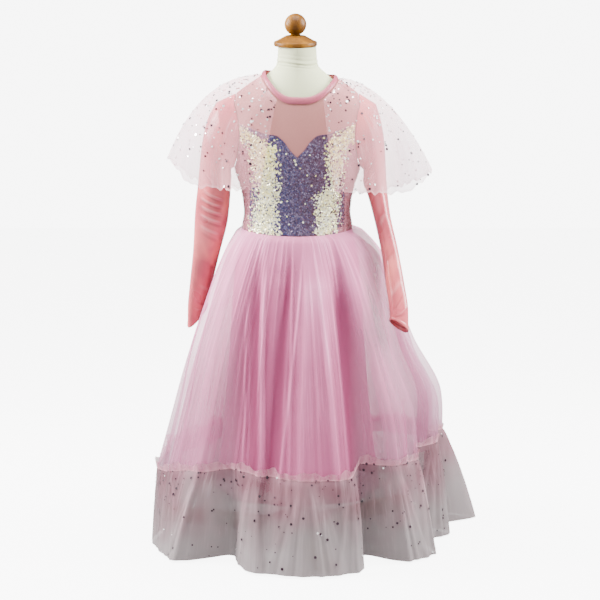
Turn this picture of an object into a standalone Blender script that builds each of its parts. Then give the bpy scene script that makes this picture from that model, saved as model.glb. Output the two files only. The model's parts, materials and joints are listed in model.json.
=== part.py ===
"""Child's dress-up dress standing on a limbless dress form.

Metres, +Z up, the front of the dress faces -Y.  The origin is on the floor, on the
form's axis.  Azimuths are measured round the axis from the front (-Y) towards +X,
which is the viewer's right.  Cloth pieces are open sheets given a wall by Solidify,
worked out from the section tables below.
"""
import math

import bpy
import numpy as np

# Cloth and clearances
WALL = 0.001
SEAM_GAP = 0.0003
CURVED_SEAM_GAP = 0.00045
WAIST_GAP = 0.0005
FORM_CLEARANCE = 0.0009
BODICE_OFFSET = FORM_CLEARANCE + WALL
CAPE_OFFSET = BODICE_OFFSET + 4 * SEAM_GAP + WALL
SIDE_SEAM_DEG = 0.4
NORMAL_STEP = 0.0005

# Dress form: half width, front depth and back depth of each level section
FORM_COLUMNS = ("z", "half_w", "front", "back")
FORM_SECTIONS = (
    (0.4200, 0.1050, 0.0830, 0.0850),
    (0.4550, 0.1060, 0.0840, 0.0860),
    (0.5000, 0.1040, 0.0820, 0.0830),
    (0.5400, 0.1000, 0.0790, 0.0760),
    (0.5720, 0.0960, 0.0760, 0.0700),
    (0.5950, 0.0925, 0.0745, 0.0685),
    (0.6150, 0.0940, 0.0755, 0.0690),
    (0.6450, 0.1000, 0.0785, 0.0715),
    (0.6720, 0.1090, 0.0820, 0.0740),
    (0.7000, 0.1135, 0.0825, 0.0750),
    (0.7300, 0.1175, 0.0795, 0.0740),
    (0.7600, 0.1205, 0.0750, 0.0705),
    (0.7850, 0.1195, 0.0700, 0.0660),
    (0.8050, 0.1080, 0.0645, 0.0610),
    (0.8220, 0.0865, 0.0580, 0.0560),
    (0.8376, 0.0640, 0.0510, 0.0510),
    (0.8485, 0.0520, 0.0455, 0.0470),
    (0.8540, 0.0455, 0.0430, 0.0445),
    (0.8600, 0.0415, 0.0412, 0.0425),
    (0.8700, 0.0396, 0.0396, 0.0402),
    (0.8920, 0.0380, 0.0380, 0.0380),
)
FORM_SEGMENTS = 32
SHOULDER_INSET = 0.0042
SHOULDER_FROM_Z = 0.635
SHOULDER_TO_Z = 0.680

# Bodice levels and edges
WAIST_Z = 0.5673
WAIST_FRONT_DIP = 0.0047
SHOULDER_TIP_Z = 0.806
ARMHOLE_Z = 0.741
ARMHOLE_HALF_HEIGHT = 0.065
ARMHOLE_HALF_DEPTH = 0.042
CHEST_LINE_Z = 0.700

# Neckline seen from above, and how much further out its lower edge lies
NECK_LEFT = 0.0540
NECK_RIGHT = 0.0635
NECK_FRONT = 0.0635
NECK_BACK = 0.0460
NECK_ROUND = 0.78
NECK_HALVINGS = 40
BINDING_SIDE = 0.0070
BINDING_FRONT = 0.0035
BINDING_THICK = 0.0012
BINDING_LAP = 0.25
BINDING_ROWS = (0.0, 0.5, 1.0)
CAPE_DROP = 1.30

# Bodice panels: sweetheart edge, grid sizes and how rows crowd towards the armhole
NECK_SHARE = 0.55
SWEETHEART_COLUMNS = ("x", "z")
SWEETHEART = (
    (0.000, 0.704),
    (0.012, 0.716),
    (0.024, 0.732),
    (0.038, 0.742),
    (0.055, 0.744),
    (0.080, 0.753),
    (0.110, 0.762),
)
SWEETHEART_PASSES = 8
FRONT_COLUMNS = 20
FRONT_ROWS = 8
YOKE_ROWS = 6
BACK_COLUMNS = 10
BACK_UPPER_ROWS = 7
BACK_LOWER_ROWS = 6
SHOULDER_CROWDING = 1.8
ARMPIT_CROWDING = 1.2
SIDE_EDGE_POWER = 4
BINDING_SEGMENTS = 36
PLACKET_HALF_WIDTH = 0.009
PLACKET_TOP_Z = 0.825
PLACKET_CLEARANCE = 0.0004

# Skirt overlay: share of the drop, then how far each side stands from the axis
SKIRT_COLUMNS = ("drop", "left", "right", "front", "back", "lobes", "gather")
SKIRT_SECTIONS = (
    (0.02, 0.110, 0.120, 0.091, 0.089, 0.00, 0.0020),
    (0.10, 0.128, 0.149, 0.106, 0.109, 0.12, 0.0020),
    (0.28, 0.158, 0.184, 0.138, 0.140, 0.35, 0.0018),
    (0.55, 0.198, 0.227, 0.180, 0.178, 0.65, 0.0012),
    (0.82, 0.227, 0.271, 0.216, 0.208, 0.92, 0.0014),
    (1.00, 0.247, 0.263, 0.242, 0.228, 1.00, 0.0020),
)
GATHERS = 34
GATHER_SAMPLES = 4

# Large folds: seam radius, seam height and hem radius at each crest and valley
FOLD_COLUMNS = ("azimuth", "seam_r", "seam_z", "hem_r")
FOLDS = (
    (-168, 0.232, 0.162, 0.288),
    (-154, 0.205, 0.162, 0.236),
    (-140, 0.232, 0.160, 0.284),
    (-127, 0.212, 0.158, 0.250),
    (-110, 0.243, 0.152, 0.280),
    (-92, 0.232, 0.150, 0.246),
    (-70, 0.260, 0.143, 0.275),
    (-47, 0.238, 0.158, 0.293),
    (-35, 0.197, 0.163, 0.204),
    (-14, 0.226, 0.163, 0.287),
    (5, 0.244, 0.163, 0.303),
    (20, 0.250, 0.163, 0.297),
    (35, 0.199, 0.172, 0.205),
    (44, 0.245, 0.173, 0.286),
    (55, 0.250, 0.173, 0.290),
    (71, 0.224, 0.176, 0.238),
    (86, 0.254, 0.178, 0.280),
    (96, 0.236, 0.179, 0.228),
    (106, 0.275, 0.179, 0.338),
    (118, 0.248, 0.176, 0.287),
    (131, 0.240, 0.172, 0.293),
    (146, 0.208, 0.168, 0.240),
    (160, 0.236, 0.165, 0.290),
    (176, 0.206, 0.163, 0.240),
)
HEM_Z = 0.004
RUFFLE_LEVELS = (0.0, 0.12, 0.50, 1.0)
RUFFLE_FLARE = 0.75
RUFFLE_GATHER_TOP = 0.0020
RUFFLE_GATHER_HEM = 0.0030

# Tulle underlayer: share of the skirt's drop and how far it lies inside the overlay
UNDERLAYER = (
    (0.12, 0.006),
    (0.40, 0.011),
    (0.75, 0.016),
    (1.05, 0.020),
)
UNDER_TOP_DROP = 0.03
UNDER_GATHER = 0.0010
UNDER_WAVES = 17
UNDER_SAMPLES = 72

# Lining: level, half width, half depth and wave height
LINING = (
    (0.500, 0.1120, 0.0920, 0.000),
    (0.380, 0.1190, 0.1050, 0.001),
    (0.230, 0.1290, 0.1210, 0.003),
    (0.085, 0.1450, 0.1400, 0.006),
)
LINING_WAVES = 8
LINING_SAMPLES = 64

# Cape: azimuth on the neckline, then the middle and the hem of each gore
CAPE_COLUMNS = ("azimuth", "mid_x", "mid_y", "mid_z", "hem_x", "hem_y", "hem_z")
CAPE = (
    (33, 0.053, -0.084, 0.735, 0.062, -0.104, 0.648),
    (52, 0.100, -0.074, 0.750, 0.112, -0.102, 0.645),
    (70, 0.145, -0.052, 0.765, 0.178, -0.074, 0.640),
    (88, 0.165, -0.008, 0.787, 0.247, -0.012, 0.672),
    (108, 0.158, 0.052, 0.778, 0.205, 0.070, 0.636),
    (138, 0.092, 0.090, 0.758, 0.120, 0.120, 0.610),
    (180, 0.000, 0.094, 0.745, 0.000, 0.122, 0.604),
    (222, -0.092, 0.090, 0.760, -0.120, 0.120, 0.622),
    (252, -0.158, 0.052, 0.782, -0.200, 0.068, 0.648),
    (272, -0.160, -0.006, 0.804, -0.230, -0.010, 0.693),
    (290, -0.148, -0.052, 0.780, -0.172, -0.074, 0.652),
    (308, -0.100, -0.074, 0.752, -0.112, -0.102, 0.650),
    (332, -0.050, -0.084, 0.735, -0.062, -0.104, 0.655),
)
CAPE_WAVES = 14
CAPE_WAVE = 0.0045
CAPE_WAVE_GROWTH = 1.5
CAPE_SAMPLES = 56
CAPE_ROWS = 5
CAPE_CROWDING = 1.15

# Sleeves: outer edge, inner edge and half thickness of each ring below the armhole
SLEEVE_COLUMNS = ("out_x", "out_y", "out_z", "in_x", "in_y", "in_z", "half_t")
SLEEVE_LEFT = (
    (-0.1440, 0.000, 0.790, -0.1180, 0.000, 0.671, 0.041),
    (-0.1600, 0.000, 0.757, -0.1175, 0.000, 0.658, 0.038),
    (-0.1705, 0.002, 0.705, -0.1180, 0.002, 0.644, 0.034),
    (-0.1765, 0.005, 0.648, -0.1190, 0.004, 0.626, 0.028),
    (-0.1835, 0.014, 0.590, -0.1235, 0.014, 0.582, 0.021),
    (-0.1880, 0.026, 0.520, -0.1400, 0.036, 0.516, 0.015),
    (-0.1935, 0.036, 0.460, -0.1540, 0.056, 0.462, 0.012),
    (-0.1980, 0.042, 0.408, -0.1640, 0.068, 0.420, 0.010),
    (-0.1985, 0.044, 0.373, -0.1660, 0.070, 0.412, 0.010),
)
SLEEVE_RIGHT = (
    (0.1405, 0.000, 0.787, 0.1180, 0.000, 0.671, 0.041),
    (0.1500, 0.000, 0.752, 0.1180, 0.000, 0.658, 0.038),
    (0.1555, -0.002, 0.706, 0.1190, -0.002, 0.644, 0.034),
    (0.1590, -0.008, 0.650, 0.1240, -0.006, 0.632, 0.029),
    (0.1655, -0.022, 0.596, 0.1360, -0.022, 0.590, 0.025),
    (0.1795, -0.048, 0.534, 0.1500, -0.050, 0.528, 0.022),
    (0.1890, -0.076, 0.482, 0.1570, -0.080, 0.480, 0.019),
    (0.1960, -0.102, 0.432, 0.1635, -0.108, 0.436, 0.016),
    (0.1950, -0.110, 0.396, 0.1650, -0.117, 0.420, 0.015),
)
SLEEVE_SAMPLES = 16
SLEEVE_FLATNESS = 0.85

# Stand: a hub and three flat bars on the floor, a pole, and the neck's turned top
HUB_RADIUS = 0.045
HUB_HEIGHT = 0.032
BAR_AZIMUTH = 10.5
BAR_COUNT = 3
BAR_REACH = 0.266
BAR_WIDTH = 0.030
BAR_HEIGHT = 0.022
BAR_BEVEL = 0.0015
POLE_RADIUS = 0.0125
TOP_X = -0.003
# Radius and height of each step of the turned profiles, from top to bottom
CAP_PROFILE = (
    (0.0165, 0.9110),
    (0.0330, 0.9020),
    (0.0380, 0.9000),
    (0.0385, 0.8960),
    (0.0380, 0.8923),
)
KNOB_STEM = (
    (0.0085, 0.9122),
    (0.0090, 0.9113),
)
KNOB_RADIUS = 0.0195
KNOB_CENTRE_Z = 0.9305
KNOB_STEPS = 6
TURNED_STEPS = 24

# Colours, seen in daylight: base colour, roughness
COLOURS = {
    "form_jersey": ((0.80, 0.79, 0.70), 0.85),
    "golden_wood": ((0.62, 0.33, 0.12), 0.30),
    "pale_wood": ((0.72, 0.62, 0.46), 0.50),
    "sequin_cloth": ((0.45, 0.38, 0.60), 0.30),
    "yoke_mesh": ((0.72, 0.48, 0.45), 0.75),
    "pink_jersey": ((0.78, 0.36, 0.42), 0.40),
    "pink_binding": ((0.82, 0.38, 0.50), 0.35),
    "cape_tulle": ((0.84, 0.76, 0.80), 0.60),
    "skirt_tulle": ((0.80, 0.48, 0.64), 0.65),
    "lining_satin": ((0.62, 0.20, 0.36), 0.55),
    "ruffle_tulle": ((0.62, 0.50, 0.53), 0.60),
}


def column(table, names, name):
    """One named column of a table as an array."""
    return np.array([row[names.index(name)] for row in table], dtype=float)


def smooth(xs, ys, at):
    """Cubic through the points (xs, ys) that never overshoots them."""
    at = np.clip(np.asarray(at, dtype=float), xs[0], xs[-1])
    steps = np.diff(xs)
    slopes = np.diff(ys) / steps
    tangents = np.zeros(len(xs))
    same_way = slopes[:-1] * slopes[1:] > 0
    mean = 2 * slopes[:-1] * slopes[1:] / np.where(same_way, slopes[:-1] + slopes[1:], 1)
    tangents[1:-1] = np.where(same_way, mean, 0)
    tangents[0] = slopes[0]
    tangents[-1] = slopes[-1]
    k = np.clip(np.searchsorted(xs, at, side="right") - 1, 0, len(xs) - 2)
    h = steps[k]
    s = (at - xs[k]) / h
    start = (1 + 2 * s) * (1 - s) ** 2 * ys[k] + s * (1 - s) ** 2 * h * tangents[k]
    end = s * s * (3 - 2 * s) * ys[k + 1] + s * s * (s - 1) * h * tangents[k + 1]
    return start + end


def fold_value(name, azimuth):
    """A column of the fold table round the skirt, flat at each crest and valley."""
    az = column(FOLDS, FOLD_COLUMNS, "azimuth")
    value = column(FOLDS, FOLD_COLUMNS, name)
    az = np.append(az, az[0] + 360)
    value = np.append(value, value[0])
    turn = (np.asarray(azimuth, dtype=float) - az[0]) % 360 + az[0]
    k = np.clip(np.searchsorted(az, turn, side="right") - 1, 0, len(az) - 2)
    s = (turn - az[k]) / (az[k + 1] - az[k])
    return value[k] + (value[k + 1] - value[k]) * (1 - np.cos(math.pi * s)) / 2


def form_size(name, z):
    """Half width, front or back depth of the form at height z."""
    levels = column(FORM_SECTIONS, FORM_COLUMNS, "z")
    return smooth(levels, column(FORM_SECTIONS, FORM_COLUMNS, name), z)


def form_point(theta, z, offset=0.0):
    """Point on the form at ellipse angle theta (degrees) and height z, moved out by offset."""
    def raw(th, zz):
        depth = np.where(np.cos(th) > 0, form_size("front", zz), form_size("back", zz))
        return np.stack([form_size("half_w", zz) * np.sin(th), -depth * np.cos(th), zz], axis=-1)
    th, zz = np.broadcast_arrays(np.radians(theta), np.asarray(z, dtype=float))
    around = raw(th + NORMAL_STEP, zz) - raw(th - NORMAL_STEP, zz)
    up = raw(th, zz + NORMAL_STEP) - raw(th, zz - NORMAL_STEP)
    normal = np.cross(around, up)
    normal /= np.linalg.norm(normal, axis=-1, keepdims=True)
    return raw(th, zz) + normal * np.asarray(offset)[..., None]


def waist_z(theta):
    """Height of the waist seam, a little lower in front."""
    return WAIST_Z - WAIST_FRONT_DIP * np.cos(np.radians(theta))


def neck_edge(angle, drop):
    """Form angle and height of the neckline at neck angle, moved out by a share of the binding.

    The loop is set out in plan, and its height is where the form's section passes through it.
    """
    rad = np.radians(np.asarray(angle, dtype=float))
    half = np.where(np.sin(rad) > 0, NECK_RIGHT, NECK_LEFT) + drop * BINDING_SIDE
    reach = np.where(np.cos(rad) > 0, NECK_FRONT, NECK_BACK) + drop * BINDING_FRONT
    x = half * np.sign(np.sin(rad)) * np.abs(np.sin(rad)) ** NECK_ROUND
    y = reach * np.sign(np.cos(rad)) * np.abs(np.cos(rad)) ** NECK_ROUND
    low = np.full(x.shape, ARMHOLE_Z)
    high = np.full(x.shape, FORM_SECTIONS[-1][0])
    for _ in range(NECK_HALVINGS):
        z = (low + high) / 2
        depth = np.where(y > 0, form_size("front", z), form_size("back", z))
        inside = (x / form_size("half_w", z)) ** 2 + (y / depth) ** 2 < 1
        low = np.where(inside, z, low)
        high = np.where(inside, high, z)
    return np.degrees(np.arctan2(x / form_size("half_w", z), y / depth)), z


def armhole_angle(z, depth_name):
    """Ellipse angle from the front or back centre to the armhole edge at height z."""
    share = np.clip((np.asarray(z, dtype=float) - ARMHOLE_Z) / ARMHOLE_HALF_HEIGHT, -1, 1)
    half = ARMHOLE_HALF_DEPTH * np.sqrt(1 - share ** 2)
    angle = np.degrees(np.arccos(np.clip(half / form_size(depth_name, z), 0, 1)))
    return np.minimum(angle, 90 - SIDE_SEAM_DEG)


def heart_z(x):
    """Height of the sweetheart edge at a distance x from the centre front."""
    across = column(SWEETHEART, SWEETHEART_COLUMNS, "x")
    return smooth(across, column(SWEETHEART, SWEETHEART_COLUMNS, "z"), abs(x))


def heart_edge(u):
    """Form angle and height of the sweetheart edge, u from -1 to 1 between the armholes."""
    z = np.full(np.shape(u), SWEETHEART[-1][1])
    for _ in range(SWEETHEART_PASSES):
        theta = u * armhole_angle(z, "front")
        z = heart_z(form_size("half_w", z) * np.sin(np.radians(theta)))
    return u * armhole_angle(z, "front"), z


def upper_edge(u, side, depth_name):
    """Distance from the centre line and height of the neckline, then of the shoulder seam."""
    centre = 0.0 if depth_name == "front" else 180.0
    turn = 90.0 * side if depth_name == "front" else -90.0 * side
    theta, z = neck_edge(centre + turn * np.clip(u / NECK_SHARE, 0, 1), BINDING_LAP)
    down = np.clip((u - NECK_SHARE) / (1 - NECK_SHARE), 0, 1)
    z = z + (SHOULDER_TIP_Z - z) * down
    seam_x = form_size("half_w", z) * math.cos(math.radians(SIDE_SEAM_DEG))
    neck_x = form_size("half_w", z) * np.abs(np.sin(np.radians(theta)))
    return np.where(u < NECK_SHARE, np.minimum(neck_x, seam_x), seam_x), z


def side_x(z, depth_name):
    """Distance from the centre line of the armhole or side seam at height z."""
    return form_size("half_w", z) * np.sin(np.radians(armhole_angle(z, depth_name)))


def upper_panel(u, top, low_z, rows, depth_name):
    """Angles from the centre line and heights, from a neck and shoulder edge down to low_z."""
    u = np.abs(u)
    v = np.linspace(0, 1, rows + 1)[:, None] ** SHOULDER_CROWDING
    low_x = form_size("half_w", low_z) * np.sin(np.radians(u * armhole_angle(low_z, depth_name)))
    x = top[0] + (low_x - top[0]) * v
    z = top[1] + (low_z - top[1]) * v
    edge_z = z[:, np.argmax(u)][:, None]
    edge_x = x[:, np.argmax(u)][:, None]
    x = x + u ** SIDE_EDGE_POWER * (side_x(edge_z, depth_name) - edge_x)
    return np.degrees(np.arcsin(x / form_size("half_w", z))), z


def lower_panel(u, top_z, rows, depth_name):
    """Angles from the centre line and heights, from top_z down to the waist seam."""
    v = np.linspace(0, 1, rows + 1)[:, None] ** ARMPIT_CROWDING
    turn = 90 * u if depth_name == "front" else 180 - 90 * u
    z = top_z + (waist_z(turn) + WAIST_GAP - top_z) * v
    return np.abs(u) * armhole_angle(z, depth_name), z


def make_material(name):
    """Plain surface for one kind of cloth or wood."""
    colour, roughness = COLOURS[name]
    material = bpy.data.materials.new(name)
    material.use_nodes = True
    shader = material.node_tree.nodes["Principled BSDF"]
    shader.inputs["Base Color"].default_value = (*colour, 1)
    shader.inputs["Roughness"].default_value = roughness
    return material


def add_object(name, mesh, material):
    """Link a mesh into the dress collection under its name."""
    mesh.materials.append(bpy.data.materials.get(material) or make_material(material))
    mesh.shade_smooth()
    obj = bpy.data.objects.new(name, mesh)
    bpy.data.collections["dress_on_form"].objects.link(obj)
    return obj


def grid_faces(rows, cols, closed):
    """Quads of a grid whose rows run down and whose columns run anticlockwise from above."""
    i, j = np.meshgrid(np.arange(rows - 1), np.arange(cols if closed else cols - 1), indexing="ij")
    nxt = (j + 1) % cols
    quads = np.stack([i * cols + j, (i + 1) * cols + j, (i + 1) * cols + nxt, i * cols + nxt], axis=-1)
    return quads.reshape(-1, 4).tolist()


def cloth(name, points, material, closed, thickness=WALL):
    """Sheet through a grid of points with a wall built inwards."""
    rows, cols = points.shape[:2]
    mesh = bpy.data.meshes.new(name)
    mesh.from_pydata(points.reshape(-1, 3).tolist(), [], grid_faces(rows, cols, closed))
    obj = add_object(name, mesh, material)
    wall = obj.modifiers.new("wall", "SOLIDIFY")
    wall.thickness = thickness
    wall.offset = -1
    wall.use_rim = True
    return obj


def turned(name, profile, material, x=0.0):
    """Solid of revolution about a vertical axis; the profile runs from bottom to top."""
    mesh = bpy.data.meshes.new(name)
    outline = [(r, 0, z) for r, z in reversed(profile)]
    points = [(0, 0, outline[0][2])] + outline + [(0, 0, outline[-1][2])]
    mesh.from_pydata(points, [(k, k + 1) for k in range(len(points) - 1)], [])
    obj = add_object(name, mesh, material)
    obj.location.x = x
    screw = obj.modifiers.new("turn", "SCREW")
    screw.steps = TURNED_STEPS
    screw.render_steps = TURNED_STEPS
    screw.use_merge_vertices = True
    screw.merge_threshold = 0.00001
    return obj


def skirt_ellipse(azimuth, left, right, front, back):
    """Radius of a section whose four sides stand at different distances."""
    s = np.sin(np.radians(azimuth))
    c = np.cos(np.radians(azimuth))
    a = np.where(s > 0, right, left)
    b = np.where(c > 0, front, back)
    return 1 / np.sqrt((s / a) ** 2 + (c / b) ** 2)


def ring(azimuth, radius, z):
    """Points round the axis."""
    rad = np.radians(azimuth)
    return np.stack([radius * np.sin(rad), -radius * np.cos(rad), np.broadcast_to(z, rad.shape)], axis=-1)


def waist_radius(azimuth, z, extra):
    """Radius of the bodice's outer face near the waist, plus extra."""
    half = form_size("half_w", z) + extra
    return skirt_ellipse(azimuth, half, half, form_size("front", z) + extra, form_size("back", z) + extra)


def lining_radius(azimuth, z):
    """Radius of the lining's outer face between the waist and its hem."""
    top = waist_z(azimuth)
    first_z, half_w, half_d, _ = LINING[0]
    high = waist_radius(azimuth, top, BODICE_OFFSET)
    low = skirt_ellipse(azimuth, half_w, half_w, half_d, half_d)
    return high + (low - high) * (top - z) / (top - first_z)


def skirt_radius(azimuth, drop):
    """Radius of the gathered overlay without its small gathers."""
    drops = column(SKIRT_SECTIONS, SKIRT_COLUMNS, "drop")
    sides = [smooth(drops, column(SKIRT_SECTIONS, SKIRT_COLUMNS, s), drop)
             for s in ("left", "right", "front", "back")]
    lobes = smooth(drops, column(SKIRT_SECTIONS, SKIRT_COLUMNS, "lobes"), drop)
    seam = SKIRT_SECTIONS[-1][1:5]
    share = fold_value("seam_r", azimuth) / skirt_ellipse(azimuth, *seam) - 1
    return skirt_ellipse(azimuth, *sides) * (1 + lobes * share)


def skirt_z(azimuth, drop):
    """Height on the overlay, from the waist seam to the ruffle seam."""
    top = waist_z(azimuth)
    return top + (fold_value("seam_z", azimuth) - top) * drop


def build_form():
    """Padded torso with a neck, no arms, head or legs."""
    z = column(FORM_SECTIONS, FORM_COLUMNS, "z")[::-1]
    theta = np.arange(FORM_SEGMENTS) * 360 / FORM_SEGMENTS
    sides = np.abs(np.sin(np.radians(theta)))
    rise = np.clip((z - SHOULDER_FROM_Z) / (SHOULDER_TO_Z - SHOULDER_FROM_Z), 0, 1)
    points = form_point(theta[None, :], z[:, None], -SHOULDER_INSET * sides[None, :] * rise[:, None])
    mesh = bpy.data.meshes.new("form_torso")
    rows = len(z)
    faces = grid_faces(rows, FORM_SEGMENTS, True)
    faces.append([j for j in range(FORM_SEGMENTS)])
    faces.append([(rows - 1) * FORM_SEGMENTS + j for j in reversed(range(FORM_SEGMENTS))])
    mesh.from_pydata(points.reshape(-1, 3).tolist(), [], faces)
    add_object("form_torso", mesh, "form_jersey")


def build_hub():
    """Round wooden foot under the pole."""
    profile = ((HUB_RADIUS, 0), (HUB_RADIUS, HUB_HEIGHT - BAR_BEVEL), (HUB_RADIUS - BAR_BEVEL, HUB_HEIGHT))
    turned("stand_hub", profile, "pale_wood")


def build_bar(index):
    """Flat wooden bar lying on the floor from the hub outwards."""
    bpy.ops.mesh.primitive_cube_add(size=1)
    bar = bpy.context.object
    bar.name = f"stand_bar_{index + 1}"
    azimuth = math.radians(BAR_AZIMUTH + index * 360 / BAR_COUNT)
    middle = (HUB_RADIUS + BAR_REACH) / 2
    bar.scale = (BAR_WIDTH, BAR_REACH - HUB_RADIUS, BAR_HEIGHT)
    bpy.ops.object.transform_apply(scale=True)
    bar.location = (middle * math.sin(azimuth), -middle * math.cos(azimuth), BAR_HEIGHT / 2)
    bar.rotation_euler.z = azimuth
    bevel = bar.modifiers.new("edge", "BEVEL")
    bevel.width = BAR_BEVEL
    bevel.segments = 1
    bar.data.materials.append(bpy.data.materials["pale_wood"])
    bpy.context.collection.objects.unlink(bar)
    bpy.data.collections["dress_on_form"].objects.link(bar)


def build_pole():
    """Wooden pole from the hub to the underside of the torso."""
    foot = HUB_HEIGHT + SEAM_GAP
    top = FORM_SECTIONS[0][0] - SEAM_GAP
    turned("stand_pole", ((POLE_RADIUS, foot), (POLE_RADIUS, top)), "golden_wood")


def build_neck_cap():
    """Turned wooden cap closing the neck."""
    turned("neck_cap", tuple(reversed(CAP_PROFILE)), "golden_wood", TOP_X)


def build_knob():
    """Wooden ball on a short stem."""
    stem_angle = math.asin(KNOB_STEM[0][0] / KNOB_RADIUS)
    angles = np.linspace(math.pi - stem_angle, math.pi / (KNOB_STEPS + 1), KNOB_STEPS)
    ball = [(KNOB_RADIUS * math.sin(a), KNOB_CENTRE_Z + KNOB_RADIUS * math.cos(a)) for a in angles]
    turned("neck_knob", tuple(reversed(KNOB_STEM)) + tuple(ball), "golden_wood", TOP_X)


def build_bodice_front():
    """Sequinned front panel up to the sweetheart edge."""
    u = np.linspace(-1, 1, FRONT_COLUMNS + 1)
    angle, z = lower_panel(u, heart_edge(u)[1], FRONT_ROWS, "front")
    cloth("bodice_front", form_point(np.sign(u) * angle, z, BODICE_OFFSET), "sequin_cloth", False)


def build_yoke():
    """Sheer chest yoke between the sweetheart edge, the armholes and the neckline."""
    u = np.linspace(-1, 1, FRONT_COLUMNS + 1)
    low_z = heart_edge(u)[1] + CURVED_SEAM_GAP
    top = upper_edge(np.abs(u), np.sign(u), "front")
    angle, z = upper_panel(u, top, low_z, YOKE_ROWS, "front")
    cloth("chest_yoke", form_point(np.sign(u) * angle, z, BODICE_OFFSET), "yoke_mesh", False)


def back_rows(u, side):
    """Angles from the centre back and heights of one back panel."""
    chest = np.full(u.shape, CHEST_LINE_Z)
    upper = upper_panel(u, upper_edge(u, side, "back"), chest, BACK_UPPER_ROWS, "back")
    lower = lower_panel(u, chest, BACK_LOWER_ROWS, "back")
    return [np.concatenate([high, low[1:]]) for high, low in zip(upper, lower)]


def build_bodice_back(name, side):
    """One back panel from the centre-back opening to the side seam, armhole and shoulder."""
    angle, z = back_rows(np.linspace(0, 1, BACK_COLUMNS + 1), side)
    angle = np.maximum(angle, np.degrees(SEAM_GAP / form_size("half_w", z)))
    theta = 180 - side * angle
    if side > 0:
        theta = theta[:, ::-1]
        z = z[:, ::-1]
    cloth(name, form_point(theta, z, BODICE_OFFSET), "pink_jersey", False)


def build_placket():
    """Closing strip laid over the centre-back opening."""
    _, z = back_rows(np.array([0.0, 1.0]), 1)
    z = z[z[:, 0] < PLACKET_TOP_Z][:, :1]
    half = np.degrees(PLACKET_HALF_WIDTH / form_size("half_w", z))
    theta = 180 + half * np.linspace(-1, 1, 3)[None, :]
    points = form_point(theta, z, BODICE_OFFSET + PLACKET_CLEARANCE + WALL)
    cloth("back_placket", points, "pink_jersey", False)


def build_binding():
    """Satin binding round the neckline."""
    angle = np.arange(BINDING_SEGMENTS) * 360 / BINDING_SEGMENTS
    offset = BODICE_OFFSET + 2 * SEAM_GAP + BINDING_THICK
    rows = [form_point(*neck_edge(angle, drop), offset) for drop in BINDING_ROWS]
    cloth("neck_binding", np.stack(rows), "pink_binding", True, BINDING_THICK)


def build_cape():
    """Sheer cape sewn into the neckline, open in front."""
    azimuth = column(CAPE, CAPE_COLUMNS, "azimuth")
    at = np.linspace(azimuth[0], azimuth[-1], CAPE_SAMPLES + 1)
    mid, hem = (np.stack([smooth(azimuth, column(CAPE, CAPE_COLUMNS, level + axis), at)
                          for axis in "xyz"], axis=-1)
                for level in ("mid_", "hem_"))
    theta, z = neck_edge(at, CAPE_DROP)
    neck = form_point(theta, z, CAPE_OFFSET)
    out = ring(at, 1.0, 0.0)
    share = (at - azimuth[0]) / (azimuth[-1] - azimuth[0])
    wave = CAPE_WAVE * np.cos(2 * math.pi * CAPE_WAVES * share)
    v = (np.linspace(0, 1, CAPE_ROWS + 1) ** CAPE_CROWDING)[:, None, None]
    points = neck * (1 - v) * (1 - 2 * v) + mid * 4 * v * (1 - v) + hem * v * (2 * v - 1)
    points = points + out * wave[:, None] * v ** CAPE_WAVE_GROWTH
    cloth("cape", points, "cape_tulle", False)


def armhole_ring(side, beta):
    """Points just outside the armhole edge, beta 0 at the shoulder tip."""
    z = ARMHOLE_Z + ARMHOLE_HALF_HEIGHT * np.cos(beta)
    forward = np.sin(beta) * side < 0
    angle = np.where(forward, armhole_angle(z, "front"), 180 - armhole_angle(z, "back"))
    lifted = form_point(side * angle, z, BODICE_OFFSET)
    out = np.array([side * (SEAM_GAP + WALL), 0.0, 0.0])
    return lifted + out


def build_sleeve(name, side, table):
    """Long slim sleeve, softly flattened, its cuff cut to a point on the outer side."""
    beta = np.arange(SLEEVE_SAMPLES) * 2 * math.pi / SLEEVE_SAMPLES
    outer, inner = (np.stack([column(table, SLEEVE_COLUMNS, edge + axis) for axis in "xyz"], axis=-1)
                    for edge in ("out_", "in_"))
    centre = (outer + inner) / 2
    across = (outer - inner) / 2
    along = np.gradient(centre, axis=0)
    thick = np.cross(across, along)
    thick /= np.linalg.norm(thick, axis=-1, keepdims=True)
    thick *= column(table, SLEEVE_COLUMNS, "half_t")[:, None]
    c = np.cos(beta)
    s = np.sign(np.sin(beta)) * np.abs(np.sin(beta)) ** SLEEVE_FLATNESS
    rings = centre[:, None] + across[:, None] * c[None, :, None] + thick[:, None] * s[None, :, None]
    points = np.concatenate([armhole_ring(side, beta)[None], rings])
    cloth(name, points, "pink_jersey", True)


def gather_azimuths():
    """Sample azimuths of the gathered pieces and the gather wave at each."""
    azimuth = np.arange(GATHERS * GATHER_SAMPLES) * 360 / (GATHERS * GATHER_SAMPLES)
    return azimuth, np.cos(np.radians(azimuth * GATHERS))


def build_overlay():
    """Gathered tulle overlay from the waist seam to the ruffle seam."""
    azimuth, gather = gather_azimuths()
    top = waist_z(azimuth)
    rows = [ring(azimuth, waist_radius(azimuth, top, BODICE_OFFSET + SEAM_GAP + WALL), top)]
    for row in SKIRT_SECTIONS:
        drop = row[SKIRT_COLUMNS.index("drop")]
        height = row[SKIRT_COLUMNS.index("gather")]
        rows.append(ring(azimuth, skirt_radius(azimuth, drop) + height * gather, skirt_z(azimuth, drop)))
    cloth("skirt_overlay", np.stack(rows), "skirt_tulle", True)


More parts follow.
